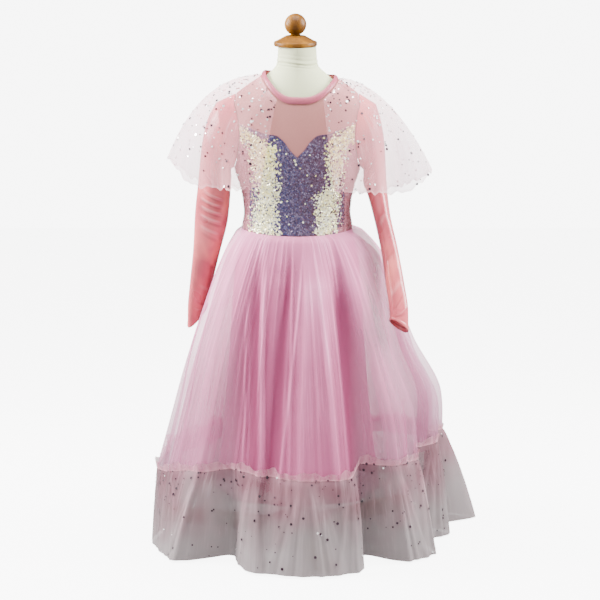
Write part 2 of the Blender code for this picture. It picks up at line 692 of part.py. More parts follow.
def build_ruffle():
    """Gathered ruffle from the overlay's lower edge to the floor."""
    azimuth, gather = gather_azimuths()
    seam_r = fold_value("seam_r", azimuth)
    hem_r = fold_value("hem_r", azimuth)
    seam_z = fold_value("seam_z", azimuth) - CURVED_SEAM_GAP
    rows = []
    for v in RUFFLE_LEVELS:
        height = RUFFLE_GATHER_TOP + (RUFFLE_GATHER_HEM - RUFFLE_GATHER_TOP) * v
        radius = seam_r + (hem_r - seam_r) * v ** RUFFLE_FLARE
        rows.append(ring(azimuth, radius + height * gather, seam_z + (HEM_Z - seam_z) * v))
    cloth("hem_ruffle", np.stack(rows), "ruffle_tulle", True)


def build_underlayer():
    """Tulle layer hanging just inside the overlay."""
    azimuth = np.arange(UNDER_SAMPLES) * 360 / UNDER_SAMPLES
    top = skirt_z(azimuth, UNDER_TOP_DROP)
    hug = lining_radius(azimuth, top) + SEAM_GAP + WALL + UNDER_GATHER
    gather = UNDER_GATHER * np.cos(np.radians(azimuth * UNDER_WAVES))
    rows = [ring(azimuth, hug + gather, top)]
    for drop, inset in UNDERLAYER:
        radius = skirt_radius(azimuth, min(drop, 1.0)) - inset
        rows.append(ring(azimuth, radius + gather, skirt_z(azimuth, drop)))
    cloth("skirt_underlayer", np.stack(rows), "skirt_tulle", True)


def build_lining():
    """Slim satin lining hanging from the waist seam."""
    azimuth = np.arange(LINING_SAMPLES) * 360 / LINING_SAMPLES
    top = waist_z(azimuth)
    rows = [ring(azimuth, waist_radius(azimuth, top, BODICE_OFFSET), top)]
    for z, half_w, half_d, wave in LINING:
        radius = skirt_ellipse(azimuth, half_w, half_w, half_d, half_d)
        rows.append(ring(azimuth, radius + wave * np.cos(np.radians(azimuth * LINING_WAVES)), z))
    cloth("skirt_lining", np.stack(rows), "lining_satin", True)


def build():
    """Clear the scene and model the dress on its form."""
    for obj in list(bpy.data.objects):
        bpy.data.objects.remove(obj, do_unlink=True)
    group = bpy.data.collections.new("dress_on_form")
    bpy.context.scene.collection.children.link(group)
    build_form()
    build_hub()
    for index in range(BAR_COUNT):
        build_bar(index)
    build_pole()
    build_neck_cap()
    build_knob()
    build_bodice_front()
    build_yoke()
    build_bodice_back("bodice_back_right", 1)
    build_bodice_back("bodice_back_left", -1)
    build_placket()
    build_binding()
    build_sleeve("sleeve_left", -1, SLEEVE_LEFT)
    build_sleeve("sleeve_right", 1, SLEEVE_RIGHT)
    build_cape()
    build_overlay()
    build_ruffle()
    build_underlayer()
    build_lining()


build()
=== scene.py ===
"""Child's dress-up dress on a limbless dress form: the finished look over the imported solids.

Metres, +Z up, the front faces -Y.  Azimuths run round the form's axis from the front (-Y)
towards +X.  Every cloth is worked out again from the pattern's own section tables, with finer
gathers, creases, sequins and foil dots than its solid has.
"""
import json
import math

import bpy
import numpy as np
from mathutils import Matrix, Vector

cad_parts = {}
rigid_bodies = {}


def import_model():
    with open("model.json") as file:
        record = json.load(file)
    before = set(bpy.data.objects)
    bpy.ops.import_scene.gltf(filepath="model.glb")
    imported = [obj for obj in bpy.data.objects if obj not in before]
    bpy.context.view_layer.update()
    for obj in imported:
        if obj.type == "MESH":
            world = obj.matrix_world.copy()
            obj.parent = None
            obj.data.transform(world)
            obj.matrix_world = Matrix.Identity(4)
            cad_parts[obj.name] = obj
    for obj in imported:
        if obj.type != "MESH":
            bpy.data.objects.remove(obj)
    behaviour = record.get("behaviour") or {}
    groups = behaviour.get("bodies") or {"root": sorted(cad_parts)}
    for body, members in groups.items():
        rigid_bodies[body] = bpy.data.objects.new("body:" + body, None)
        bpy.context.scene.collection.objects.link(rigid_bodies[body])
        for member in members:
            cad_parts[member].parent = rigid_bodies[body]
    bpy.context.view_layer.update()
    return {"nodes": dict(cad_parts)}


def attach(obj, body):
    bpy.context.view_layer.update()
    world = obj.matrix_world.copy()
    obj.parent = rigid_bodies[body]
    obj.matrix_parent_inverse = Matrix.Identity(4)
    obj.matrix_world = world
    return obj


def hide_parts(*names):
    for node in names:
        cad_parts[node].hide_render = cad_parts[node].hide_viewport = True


for leftover in list(bpy.data.objects):
    bpy.data.objects.remove(leftover, do_unlink=True)
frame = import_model()
rng = np.random.default_rng(7)


def table(names, *rows):
    """The columns of a table by name, each an array."""
    return dict(zip(names.split(), np.array(rows, dtype=float).T))


# Cloth and clearances
WALL = 0.001
SEAM_GAP = 0.0003
CURVED_SEAM_GAP = 0.00045
WAIST_GAP = 0.0005
FORM_CLEARANCE = 0.0009
BODICE_OFFSET = FORM_CLEARANCE + WALL
CAPE_OFFSET = BODICE_OFFSET + 4 * SEAM_GAP + WALL
SIDE_SEAM_DEG = 0.4
NORMAL_STEP = 0.0005
NET_WALL = 0.0006
JERSEY_WALL = 0.0008

# Dress form: half width, front depth and back depth of each level section
FORM = table(
    "z half_w front back",
    (0.42, 0.105, 0.083, 0.085), (0.455, 0.106, 0.084, 0.086), (0.5, 0.104, 0.082, 0.083),
    (0.54, 0.1, 0.079, 0.076), (0.572, 0.096, 0.076, 0.07), (0.595, 0.0925, 0.0745, 0.0685),
    (0.615, 0.094, 0.0755, 0.069), (0.645, 0.1, 0.0785, 0.0715), (0.672, 0.109, 0.082, 0.074),
    (0.7, 0.1135, 0.0825, 0.075), (0.73, 0.1175, 0.0795, 0.074), (0.76, 0.1205, 0.075, 0.0705),
    (0.785, 0.1195, 0.07, 0.066), (0.805, 0.108, 0.0645, 0.061), (0.822, 0.0865, 0.058, 0.056),
    (0.8376, 0.064, 0.051, 0.051), (0.8485, 0.052, 0.0455, 0.047), (0.854, 0.0455, 0.043, 0.0445),
    (0.86, 0.0415, 0.0412, 0.0425), (0.87, 0.0396, 0.0396, 0.0402), (0.892, 0.038, 0.038, 0.038),
)
SHOULDER_INSET = 0.0042
SHOULDER_FROM_Z = 0.635
SHOULDER_TO_Z = 0.68

# Creases of the form's cover round the neck: height, width, depth
NECK_CREASES = (
    (0.864, 0.0011, 0.0012), (0.867, 0.0012, -0.0008), (0.859, 0.001, 0.0008), (0.872, 0.0011, 0.0007),
    (0.879, 0.0014, 0.0004),
)

# Bodice levels and edges
WAIST_Z = 0.5673
WAIST_FRONT_DIP = 0.0047
SHOULDER_TIP_Z = 0.806
ARMHOLE_Z = 0.741
ARMHOLE_HALF_HEIGHT = 0.065
ARMHOLE_HALF_DEPTH = 0.042
CHEST_LINE_Z = 0.7

# Neckline seen from above, and how much further out its lower edge lies
NECK_LEFT = 0.054
NECK_RIGHT = 0.0635
NECK_FRONT = 0.0635
NECK_BACK = 0.046
NECK_ROUND = 0.78
NECK_HALVINGS = 40
BINDING_SIDE = 0.007
BINDING_FRONT = 0.0035
BINDING_THICK = 0.0012
BINDING_WALL = 0.001
BINDING_LAP = 0.25
CAPE_DROP = 1.3

# Bodice panels: sweetheart edge and how rows crowd towards the armhole
NECK_SHARE = 0.55
HEART = table(
    "x z",
    (0, 0.704), (0.012, 0.716), (0.024, 0.732), (0.038, 0.742), (0.055, 0.744), (0.08, 0.753), (0.11, 0.762),
)
SWEETHEART_PASSES = 8
SHOULDER_CROWDING = 1.8
ARMPIT_CROWDING = 1.2
SIDE_EDGE_POWER = 4
PLACKET_HALF_WIDTH = 0.009
PLACKET_TOP_Z = 0.825
PLACKET_CLEARANCE = 0.0004

# Skirt overlay: share of the drop, how far each side stands from the axis, and how full its folds are
SIDES = ("left", "right", "front", "back")
SKIRT = table(
    "drop left right front back lobes",
    (0.02, 0.11, 0.12, 0.091, 0.089, 0), (0.1, 0.128, 0.149, 0.106, 0.109, 0.12),
    (0.28, 0.158, 0.184, 0.138, 0.14, 0.35), (0.55, 0.198, 0.227, 0.18, 0.178, 0.65),
    (0.82, 0.227, 0.271, 0.216, 0.208, 0.92), (1, 0.247, 0.263, 0.242, 0.228, 1),
)

# Large folds: seam radius, seam height and hem radius at each crest and valley
FOLDS = table(
    "azimuth seam_r seam_z hem_r",
    (-168, 0.232, 0.162, 0.288), (-154, 0.205, 0.162, 0.236), (-140, 0.232, 0.16, 0.284),
    (-127, 0.212, 0.158, 0.25), (-110, 0.243, 0.152, 0.28), (-92, 0.232, 0.15, 0.246),
    (-70, 0.26, 0.143, 0.275), (-47, 0.238, 0.158, 0.293), (-35, 0.197, 0.163, 0.204),
    (-14, 0.226, 0.163, 0.287), (5, 0.244, 0.163, 0.303), (20, 0.25, 0.163, 0.297), (35, 0.199, 0.172, 0.205),
    (44, 0.245, 0.173, 0.286), (55, 0.25, 0.173, 0.29), (71, 0.224, 0.176, 0.238), (86, 0.254, 0.178, 0.28),
    (96, 0.236, 0.179, 0.228), (106, 0.275, 0.179, 0.338), (118, 0.248, 0.176, 0.287),
    (131, 0.24, 0.172, 0.293), (146, 0.208, 0.168, 0.24), (160, 0.236, 0.165, 0.29), (176, 0.206, 0.163, 0.24),
)
HEM_Z = 0.004
HEM_BACK_FALL = 0.0032
RUFFLE_FLARE = 0.75

# Tulle underlayer: share of the skirt's drop and how far it lies inside the overlay
UNDERLAYER = table(
    "drop inset",
    (0.12, 0.006), (0.4, 0.011), (0.75, 0.016), (1.05, 0.02),
)
UNDER_TOP_DROP = 0.03
UNDER_GATHER = 0.001

# Lining: level, half width, half depth and wave height
LINING = table(
    "z half_w half_d wave",
    (0.5, 0.112, 0.092, 0), (0.38, 0.119, 0.105, 0.001), (0.23, 0.129, 0.121, 0.003),
    (0.085, 0.145, 0.14, 0.006),
)
LINING_WAVES = 8

# Cape: azimuth on the neckline, then the middle and the hem of each gore
CAPE = table(
    "azimuth mid_x mid_y mid_z hem_x hem_y hem_z",
    (33, 0.053, -0.084, 0.735, 0.062, -0.104, 0.648), (52, 0.1, -0.074, 0.75, 0.112, -0.102, 0.645),
    (70, 0.145, -0.052, 0.765, 0.178, -0.074, 0.64), (88, 0.165, -0.008, 0.787, 0.247, -0.012, 0.672),
    (108, 0.158, 0.052, 0.778, 0.205, 0.07, 0.636), (138, 0.092, 0.09, 0.758, 0.12, 0.12, 0.61),
    (180, 0, 0.094, 0.745, 0, 0.122, 0.604), (222, -0.092, 0.09, 0.76, -0.12, 0.12, 0.622),
    (252, -0.158, 0.052, 0.782, -0.2, 0.068, 0.648), (272, -0.16, -0.006, 0.804, -0.23, -0.01, 0.693),
    (290, -0.148, -0.052, 0.78, -0.172, -0.074, 0.652), (308, -0.1, -0.074, 0.752, -0.112, -0.102, 0.65),
    (332, -0.05, -0.084, 0.735, -0.062, -0.104, 0.655),
)
CAPE_WAVES = 14
CAPE_WAVE = 0.0045
CAPE_WAVE_GROWTH = 1.5
CAPE_CROWDING = 1.15

# Sleeves: outer edge, inner edge and half thickness of each ring below the armhole
SLEEVE_COLUMNS = "out_x out_y out_z in_x in_y in_z half_t"
SLEEVE_LEFT = table(
    SLEEVE_COLUMNS,
    (-0.144, 0, 0.79, -0.118, 0, 0.671, 0.041), (-0.16, 0, 0.757, -0.1175, 0, 0.658, 0.038),
    (-0.1705, 0.002, 0.705, -0.118, 0.002, 0.644, 0.034), (-0.1765, 0.005, 0.648, -0.119, 0.004, 0.626, 0.028),
    (-0.1835, 0.014, 0.59, -0.1235, 0.014, 0.582, 0.021), (-0.188, 0.026, 0.52, -0.14, 0.036, 0.516, 0.015),
    (-0.1935, 0.036, 0.46, -0.154, 0.056, 0.462, 0.012), (-0.198, 0.042, 0.408, -0.164, 0.068, 0.42, 0.01),
    (-0.1985, 0.044, 0.373, -0.166, 0.07, 0.412, 0.01),
)
SLEEVE_RIGHT = table(
    SLEEVE_COLUMNS,
    (0.1405, 0, 0.787, 0.118, 0, 0.671, 0.041), (0.15, 0, 0.752, 0.118, 0, 0.658, 0.038),
    (0.1555, -0.002, 0.706, 0.119, -0.002, 0.644, 0.034), (0.159, -0.008, 0.65, 0.124, -0.006, 0.632, 0.029),
    (0.1655, -0.022, 0.596, 0.136, -0.022, 0.59, 0.025), (0.1795, -0.048, 0.534, 0.15, -0.05, 0.528, 0.022),
    (0.189, -0.076, 0.482, 0.157, -0.08, 0.48, 0.019), (0.196, -0.102, 0.432, 0.1635, -0.108, 0.436, 0.016),
    (0.195, -0.11, 0.396, 0.165, -0.117, 0.42, 0.015),
)
SLEEVE_FLATNESS = 0.85

# Neck's turned top: axis, cap (radius, height) with the radius and steps of its rounded rim, ball and stem
TOP_X = -0.003
CAP_PROFILE = (
    (0.0, 0.911), (0.0165, 0.911), (0.033, 0.902), (0.0385, 0.8998), (0.0385, 0.894), (0.0375, 0.8923),
    (0.0, 0.8923),
)
RIM_RADIUS = 0.0016
RIM_STEPS = 5
STEM_RADIUS = 0.0085
STEM_FOOT = [(0.009, 0.9113), (0.0, 0.9113)]
BALL_RADIUS = 0.0195
BALL_CENTRE_Z = 0.9305
TURNED_COLUMNS = 72

# Folds of the skirt: azimuth and half width at the waist and at the hem,
# how far the fold stands out, how much its net bunches, and the share of the drop where it starts
# A negative bunch thins the net and deepens its colour down a fold's valley: partly the lining showing through,
# partly painted shade.
SKIRT_FOLDS = (
    (19, 9, 6.5, 13, 0.008, 0.52, 0), (9, 0.8, -7.6, 0.9, 0.002, 0.36, 0.02),
    (-4, 2, -12.2, 3.2, -0.006, -0.48, 0.05), (-33, 0.8, -15.4, 0.7, 0.0014, 0.34, 0.1),
    (-34, 2.4, -17.2, 2.2, 0.005, 0.34, 0.08), (-42, 3.5, -22.2, 3.4, -0.005, -0.46, 0.06),
    (-48, 1, -27.5, 0.9, 0.0018, 0.36, 0.2), (-54, 5, -36, 6, 0.003, 0.1, 0), (-66, 4, -49, 5, 0.0046, 0.3, 0),
    (-75, 4, -61, 4.5, 0.004, 0.26, 0.1), (-82, 5, -73, 4, 0.003, 0.2, 0.05), (-92, 6, -86, 4, 0.003, 0.24, 0),
    (19, 1.5, 16, 1.6, 0.0024, 0.26, 0.28), (9, 1.4, 1.5, 1.5, 0.002, 0.2, 0.35),
    (28, 0.8, 20.8, 0.8, 0.0016, 0.34, 0.15), (35, 4, 28.8, 5.6, -0.006, -0.58, 0.12),
    (42, 3, 38, 2.6, 0.0036, 0.2, 0.05), (46, 4.5, 47, 4, 0.0048, 0.3, 0), (60, 4, 58, 3.5, 0.0036, 0.2, 0.12),
    (74, 5, 70, 4, -0.003, -0.16, 0.1), (88, 5, 84, 5, 0.0012, 0.22, 0), (104, 5, 101, 5, 0.001, 0.3, 0.05),
    (122, 4, 118, 5, 0.004, 0.26, 0), (139, 5, 134, 6, 0.006, 0.36, 0.04),
    (150, 3, 147, 4.5, -0.005, -0.34, 0.05), (161, 4, 161, 5, 0.005, 0.36, 0.1),
    (178, 6, 177, 6, 0.0064, 0.34, 0), (-167, 3, -165, 4, 0.0036, 0.2, 0.15),
    (-155, 3, -153, 4.5, -0.005, -0.34, 0.05), (-141, 6, -139, 7, 0.0066, 0.36, 0),
    (-122, 4, -125, 4, 0.004, 0.26, 0.08), (-104, 5, -107, 6, 0.005, 0.3, 0),
)
FINE_RIDGES = 150

# Net of the skirt: how much denser round the sides and back, how much thinner once spread from its gathers,
# and how many degrees the front reaches round
SIDE_DENSITY = 0.12
OPENING = 0.26
FRONT_REACH = 60

# How much denser it is at the waist's gathers, and how fast that ends down the drop
WAIST_GATHERS = ((0.30, 7), (0.24, 2.4))

# Where the tulle falls in at the right side, how far round, and how deep
EASE_AZIMUTH = 92
EASE_REACH = 40
EASE_DEPTH = 0.015

# Where the ruffle's net is pinched at its seam, and how far each fan of creases opens
PINCHES = (
    (-65, 15), (-44, 8), (-20, 9), (4, 12), (24, 8), (42, 10), (60, 8), (84, 13), (108, 12), (131, 10),
    (153, 9), (174, 12), (-162, 9), (-141, 12), (-121, 8), (-98, 12),
)
FAN_CREASES = 9

# Where the ruffle's net lies in pale, denser panels or in dark bands of painted shade for its hollows: azimuth, half
# width, how much it bunches (below 0, painted shade)
RUFFLE_PANELS = (
    (5, 11, 0.26), (-17, 5, -0.24), (27, 7, -0.26), (-42, 8, 0.14), (52, 8, 0.14), (-68, 8, -0.12),
    (76, 8, -0.12), (110, 10, 0.16), (140, 8, -0.16), (170, 10, 0.2), (-160, 7, -0.16), (-125, 10, 0.16),
)

# Frill above the ruffle seam: sines of its lean, height and bunching (size, waves, start in degrees)
FRILL_FOOT = 0.0012
FRILL_LEAN = 0.0022
FRILL_HEIGHT = 0.013
FRILL_SUNK = 0.002
LEAN_SINES = ((0.0014, 83, 30), (0.0016, 47, 50))
HEIGHT_SINES = ((0.003, 23, 0), (0.002, 61, 0))
BUNCH_SINES = ((0.15, 83, 0), (0.15, 131, 0))
TAPE_RADIUS = 0.0009

# Creases of the sleeves: share of the length, width, depth, slant, and the side faced (radians)
CREASE_DEPTH = 1.25
LEFT_CREASES = (
    (0.425, 0.005, 0.05, 0.01, 1.5), (0.442, 0.005, -0.055, 0.012, 1.6), (0.459, 0.005, 0.065, 0.01, 1.4),
    (0.475, 0.005, -0.06, 0.012, 1.6), (0.492, 0.005, 0.07, 0.014, 1.5), (0.508, 0.005, -0.065, 0.012, 1.6),
    (0.526, 0.006, 0.065, 0.016, 1.5), (0.545, 0.006, -0.06, 0.015, 1.7), (0.566, 0.007, 0.055, 0.018, 1.5),
    (0.59, 0.008, -0.045, 0.02, 1.6), (0.32, 0.01, 0.04, 0.03, 1.8), (0.37, 0.009, -0.045, 0.025, 1.3),
    (0.69, 0.014, -0.035, 0.03, 1.9), (0.79, 0.014, 0.04, 0.03, 1.7), (0.87, 0.01, -0.07, 0.05, 1.6),
    (0.905, 0.008, 0.07, 0.05, 1.4), (0.94, 0.008, -0.07, 0.04, 1.8), (0.41, 0.01, 0.05, 0.015, 4.7),
    (0.48, 0.01, -0.05, 0.02, 4.5), (0.6, 0.014, 0.045, 0.03, 4.8),
)
RIGHT_CREASES = (
    (0.2, 0.01, 0.05, -0.012, 4.4), (0.27, 0.009, -0.05, -0.02, 4.6), (0.34, 0.01, 0.06, -0.016, 4.3),
    (0.43, 0.01, -0.05, -0.025, 4.5), (0.55, 0.014, 0.04, -0.03, 4.7), (0.68, 0.014, -0.04, -0.03, 4.4),
    (0.8, 0.012, 0.055, -0.04, 4.6), (0.86, 0.009, -0.08, -0.05, 4.5), (0.9, 0.008, 0.08, -0.05, 4.8),
    (0.94, 0.007, -0.08, -0.04, 4.4), (0.3, 0.01, 0.05, -0.015, 1.5), (0.47, 0.012, -0.045, -0.02, 1.7),
)

# Cuff hem: rings of the sleeve that it follows, and how far it stands off each
CUFF_RINGS = [-9, -7, -5, -3, -1]
CUFF_LIFTS = [0.0002, 0.001, 0.0007, 0.0011, 0.0004]

# Soft folds of the cape: neckline azimuth, half width, height, how much the net bunches
# A negative bunch deepens the net's colour along a fold's valley, painted shade
CAPE_FOLDS = (
    (-52, 7, 0.004, 0.3), (-78, 5, 0.005, 0.4), (-104, 9, -0.003, -0.1), (-128, 6, 0.0045, 0.3),
    (-152, 8, 0.004, 0.25), (48, 5, 0.004, 0.3), (66, 6, 0.005, 0.36), (88, 8, -0.003, -0.1),
    (112, 6, 0.0045, 0.3), (136, 7, 0.004, 0.25), (160, 6, -0.003, -0.1), (178, 7, 0.004, 0.3),
)

# Bands where the sequins are painted cream, a painted reflection of the side softboxes: height, then the outer and
# inner edge of the left and right bands
REFLECTION_BANDS = table(
    "z left_out left_in right_in right_out",
    (0.56, -0.079, -0.032, 0.033, 0.066), (0.6, -0.076, -0.036, 0.034, 0.069),
    (0.632, -0.07, -0.034, 0.035, 0.069), (0.655, -0.072, -0.034, 0.056, 0.076),
    (0.69, -0.079, -0.035, 0.054, 0.08), (0.715, -0.083, -0.038, 0.054, 0.086),
    (0.732, -0.098, -0.052, 0.058, 0.099), (0.748, -0.119, -0.086, 0.08, 0.112),
    (0.77, -0.119, -0.108, 0.096, 0.115),
)
SEQUIN_PITCH = 0.0026
SEQUIN_RADIUS = 0.0017
SEQUIN_TURN = math.degrees(SEQUIN_PITCH / 0.098)
DISC_SIDES = 8
PLUM = np.array([0.105, 0.05, 0.085])
BLUE = np.array([0.05, 0.052, 0.15])
HAZE = np.array([0.26, 0.21, 0.33])
# Painted reflection of the softboxes on the banded sequins: its cream, its random spread, and the blue it loses
# towards the top, where it turns more golden
REFLECTION_CREAM = np.array([0.98, 0.9, 0.38])
REFLECTION_CREAM_SPREAD = np.array([0.02, 0.1, 0.46])
REFLECTION_GOLDEN = np.array([0.0, 0.02, 0.16])
ROSE = np.array([0.42, 0.15, 0.19])
ROSE_SPREAD = np.array([0.16, 0.13, 0.14])

# Foil dots: how many, their least and greatest radius, how far they stand off, and their two colours, painted on the
# silver foil: a dark reflection and a pale glint
RUFFLE_DOTS = (620, (0.0010, 0.0027), 0.0012)
CAPE_DOTS = (820, (0.0012, 0.0026), 0.0010)
FOIL_DARK_REFLECTION = [[0.035, 0.018, 0.028]]
FOIL_GLINT = [[0.98, 0.92, 0.92]]

# Columns and rows of each grid
GRIDS = {
    "tulle_overlay": (1100, 58), "tulle_underlayer": (720, 40), "satin_lining": (256, 60),
    "hem_ruffle_tulle": (1300, 30), "ruffle_header": (1200, 6), "seam_tape": (1000, 5), "ruffle_foil": (700, 24),
    "neck_binding_satin": (180, 13), "cape_net": (560, 60), "sleeve": (80, 230),
}
PANEL_POINTS = 81
BACK_POINTS = 41
FRONT_ROWS = 48
PANEL_ROWS = 40
LEAD_RINGS = 14

# Brightness of floor and backdrop to the camera, and their share when seen through the net;
# on the floor that share grows from the first to the second distance from the dress, so near the dress the floor seen
# through the net is left darker, a painted shadow
FLOOR_GLOW = 7.0
BACKDROP = 7.75
THROUGH_NET = 0.8
GLOW_FROM_TO = (0.55, 1.8)
AMBIENT = 0.5

# Studio lights: azimuth, distance, height, width, tall, power
LIGHTS = (
    ("left_softbox", -92, 1.25, 1.25, 0.7, 0.9, 112),
    ("right_softbox", 91, 1.25, 1.25, 0.7, 0.9, 82),
    ("top_softbox", 0, 0.3, 2.4, 1.4, 1.4, 100),
    ("front_panel", 0, 5.7, 1.5, 3.6, 3.6, 100),
)
AIM = (0.0, 0.0, 0.62)
CAMERA_AT = (0.005, -5.0, 1.42)
CAMERA_PITCH = 11.17
CAMERA_FOCAL_PIXELS = 2822
IMAGE_WIDTH = 600
SENSOR_WIDTH = 36


# Helpers


def sind(angle):
    """Sine of degrees."""
    return np.sin(np.radians(angle))


def cosd(angle):
    """Cosine of degrees."""
    return np.cos(np.radians(angle))


def held(value):
    """Value held between 0 and 1."""
    return np.clip(value, 0, 1)


def unit(vectors):
    """Vectors of length 1."""
    return vectors / np.maximum(np.linalg.norm(vectors, axis=-1, keepdims=True), 1e-12)


def away(azimuth, middle):
    """Degrees from middle round the axis, -180 to 180."""
    return (azimuth - middle + 180) % 360 - 180


def ridge(azimuth, middle, half, height=1.0):
    """Soft-shouldered ridge: height / (1 + t^4), t the distance from its middle over its half width."""
    return height / (1 + (away(azimuth, middle) / half) ** 4)


def frontness(azimuth):
    """A bell curve round the front, 1 in its middle."""
    return np.exp(-away(azimuth, 0) ** 2 / FRONT_REACH ** 2)


def sines(azimuth, rows):
    """Sum of sine waves round the axis, a row for each: size, number of waves, start in degrees."""
    return sum(size * sind(azimuth * waves + start) for size, waves, start in rows)


def around(name):
    """A piece's grid of azimuths right round the axis, and of shares from 0 to 1 down it."""
    columns, rows = GRIDS[name]
    return np.meshgrid(np.arange(columns) * 360 / columns, np.linspace(0, 1, rows))


def smooth(xs, ys, at):
    """Cubic through the points (xs, ys) that never overshoots them."""
    at = np.clip(np.asarray(at, dtype=float), xs[0], xs[-1])
    steps = np.diff(xs)
    slopes = np.diff(ys) / steps
    tangents = np.zeros(len(xs))
    same_way = slopes[:-1] * slopes[1:] > 0
    mean = 2 * slopes[:-1] * slopes[1:] / np.where(same_way, slopes[:-1] + slopes[1:], 1)
    tangents[1:-1] = np.where(same_way, mean, 0)
    tangents[0] = slopes[0]
    tangents[-1] = slopes[-1]
    k = np.clip(np.searchsorted(xs, at, side="right") - 1, 0, len(xs) - 2)
    h = steps[k]
    s = (at - xs[k]) / h
    start = (1 + 2 * s) * (1 - s) ** 2 * ys[k] + s * (1 - s) ** 2 * h * tangents[k]
    end = s * s * (3 - 2 * s) * ys[k + 1] + s * s * (s - 1) * h * tangents[k + 1]
    return start + end


def smooth_points(xs, columns, edge, at):
    """Points read smoothly along the columns edge_x, edge_y and edge_z."""
    return np.stack([smooth(xs, columns[edge + axis], at) for axis in "xyz"], axis=-1)


def fold_value(name, azimuth):
    """A column of the fold table round the skirt, flat at each crest and valley."""
    at = np.append(FOLDS["azimuth"], FOLDS["azimuth"][0] + 360)
    value = np.append(FOLDS[name], FOLDS[name][0])
    turn = (np.asarray(azimuth, dtype=float) - at[0]) % 360 + at[0]
    k = np.clip(np.searchsorted(at, turn, side="right") - 1, 0, len(at) - 2)
    s = (turn - at[k]) / (at[k + 1] - at[k])
    return value[k] + (value[k + 1] - value[k]) * (1 - np.cos(math.pi * s)) / 2


def form_size(name, z):
    """Half width, front or back depth of the form at height z."""
    return smooth(FORM["z"], FORM[name], z)


def form_point(theta, z, offset=0.0):
    """Point on the form at ellipse angle theta (degrees) and height z, moved out by offset."""
    def raw(th, zz):
        depth = np.where(np.cos(th) > 0, form_size("front", zz), form_size("back", zz))
        return np.stack([form_size("half_w", zz) * np.sin(th), -depth * np.cos(th), zz], axis=-1)
    th, zz = np.broadcast_arrays(np.radians(theta), np.asarray(z, dtype=float))
    across = raw(th + NORMAL_STEP, zz) - raw(th - NORMAL_STEP, zz)
    up = raw(th, zz + NORMAL_STEP) - raw(th, zz - NORMAL_STEP)
    return raw(th, zz) + unit(np.cross(across, up)) * np.asarray(offset)[..., None]


def waist_z(theta):
    """Height of the waist seam, a little lower in front."""
    return WAIST_Z - WAIST_FRONT_DIP * cosd(theta)


def neck_edge(angle, drop):
    """Form angle and height of the neckline at neck angle, moved out by a share of the binding.

    The loop is set out in plan, and its height is where the form's section passes through it.
    """
    rad = np.radians(np.asarray(angle, dtype=float))
    half = np.where(np.sin(rad) > 0, NECK_RIGHT, NECK_LEFT) + drop * BINDING_SIDE
    reach = np.where(np.cos(rad) > 0, NECK_FRONT, NECK_BACK) + drop * BINDING_FRONT
    x = half * np.sign(np.sin(rad)) * np.abs(np.sin(rad)) ** NECK_ROUND
    y = reach * np.sign(np.cos(rad)) * np.abs(np.cos(rad)) ** NECK_ROUND
    low = np.full(x.shape, ARMHOLE_Z)
    high = np.full(x.shape, FORM["z"][-1])
    for _ in range(NECK_HALVINGS):
        z = (low + high) / 2
        depth = np.where(y > 0, form_size("front", z), form_size("back", z))
        inside = (x / form_size("half_w", z)) ** 2 + (y / depth) ** 2 < 1
        low = np.where(inside, z, low)
        high = np.where(inside, high, z)
    return np.degrees(np.arctan2(x / form_size("half_w", z), y / depth)), z


def armhole_angle(z, depth_name):
    """Ellipse angle from the front or back centre to the armhole edge at height z."""
    share = np.clip((np.asarray(z, dtype=float) - ARMHOLE_Z) / ARMHOLE_HALF_HEIGHT, -1, 1)
    half = ARMHOLE_HALF_DEPTH * np.sqrt(1 - share ** 2)
    angle = np.degrees(np.arccos(held(half / form_size(depth_name, z))))
    return np.minimum(angle, 90 - SIDE_SEAM_DEG)


def heart_z(x):
    """Height of the sweetheart edge at a distance x from the centre front."""
    return smooth(HEART["x"], HEART["z"], abs(x))


def heart_edge(u):
    """Form angle and height of the sweetheart edge, u from -1 to 1 between the armholes."""
    z = np.full(np.shape(u), HEART["z"][-1])
    for _ in range(SWEETHEART_PASSES):
        theta = u * armhole_angle(z, "front")
        z = heart_z(form_size("half_w", z) * sind(theta))
    return u * armhole_angle(z, "front"), z


def upper_edge(u, side, depth_name):
    """Distance from the centre line and height of the neckline, then of the shoulder seam."""
    centre = 0.0 if depth_name == "front" else 180.0
    turn = 90.0 * side if depth_name == "front" else -90.0 * side
    theta, z = neck_edge(centre + turn * held(u / NECK_SHARE), BINDING_LAP)
    down = held((u - NECK_SHARE) / (1 - NECK_SHARE))
    z = z + (SHOULDER_TIP_Z - z) * down
    seam_x = form_size("half_w", z) * math.cos(math.radians(SIDE_SEAM_DEG))
    neck_x = form_size("half_w", z) * np.abs(sind(theta))
    return np.where(u < NECK_SHARE, np.minimum(neck_x, seam_x), seam_x), z


def side_x(z, depth_name):
    """Distance from the centre line of the armhole or side seam at height z."""
    return form_size("half_w", z) * sind(armhole_angle(z, depth_name))


def upper_panel(u, top, low_z, rows, depth_name):
    """Angles from the centre line and heights, from a neck and shoulder edge down to low_z."""
    u = np.abs(u)
    v = np.linspace(0, 1, rows + 1)[:, None] ** SHOULDER_CROWDING
    low_x = form_size("half_w", low_z) * sind(u * armhole_angle(low_z, depth_name))
    x = top[0] + (low_x - top[0]) * v
    z = top[1] + (low_z - top[1]) * v
    edge_z = z[:, np.argmax(u)][:, None]
    edge_x = x[:, np.argmax(u)][:, None]
    x = x + u ** SIDE_EDGE_POWER * (side_x(edge_z, depth_name) - edge_x)
    return np.degrees(np.arcsin(x / form_size("half_w", z))), z


def lower_panel(u, top_z, rows, depth_name):
    """Angles from the centre line and heights, from top_z down to the waist seam."""
    v = np.linspace(0, 1, rows + 1)[:, None] ** ARMPIT_CROWDING
    turn = 90 * u if depth_name == "front" else 180 - 90 * u
    z = top_z + (waist_z(turn) + WAIST_GAP - top_z) * v
    return np.abs(u) * armhole_angle(z, depth_name), z


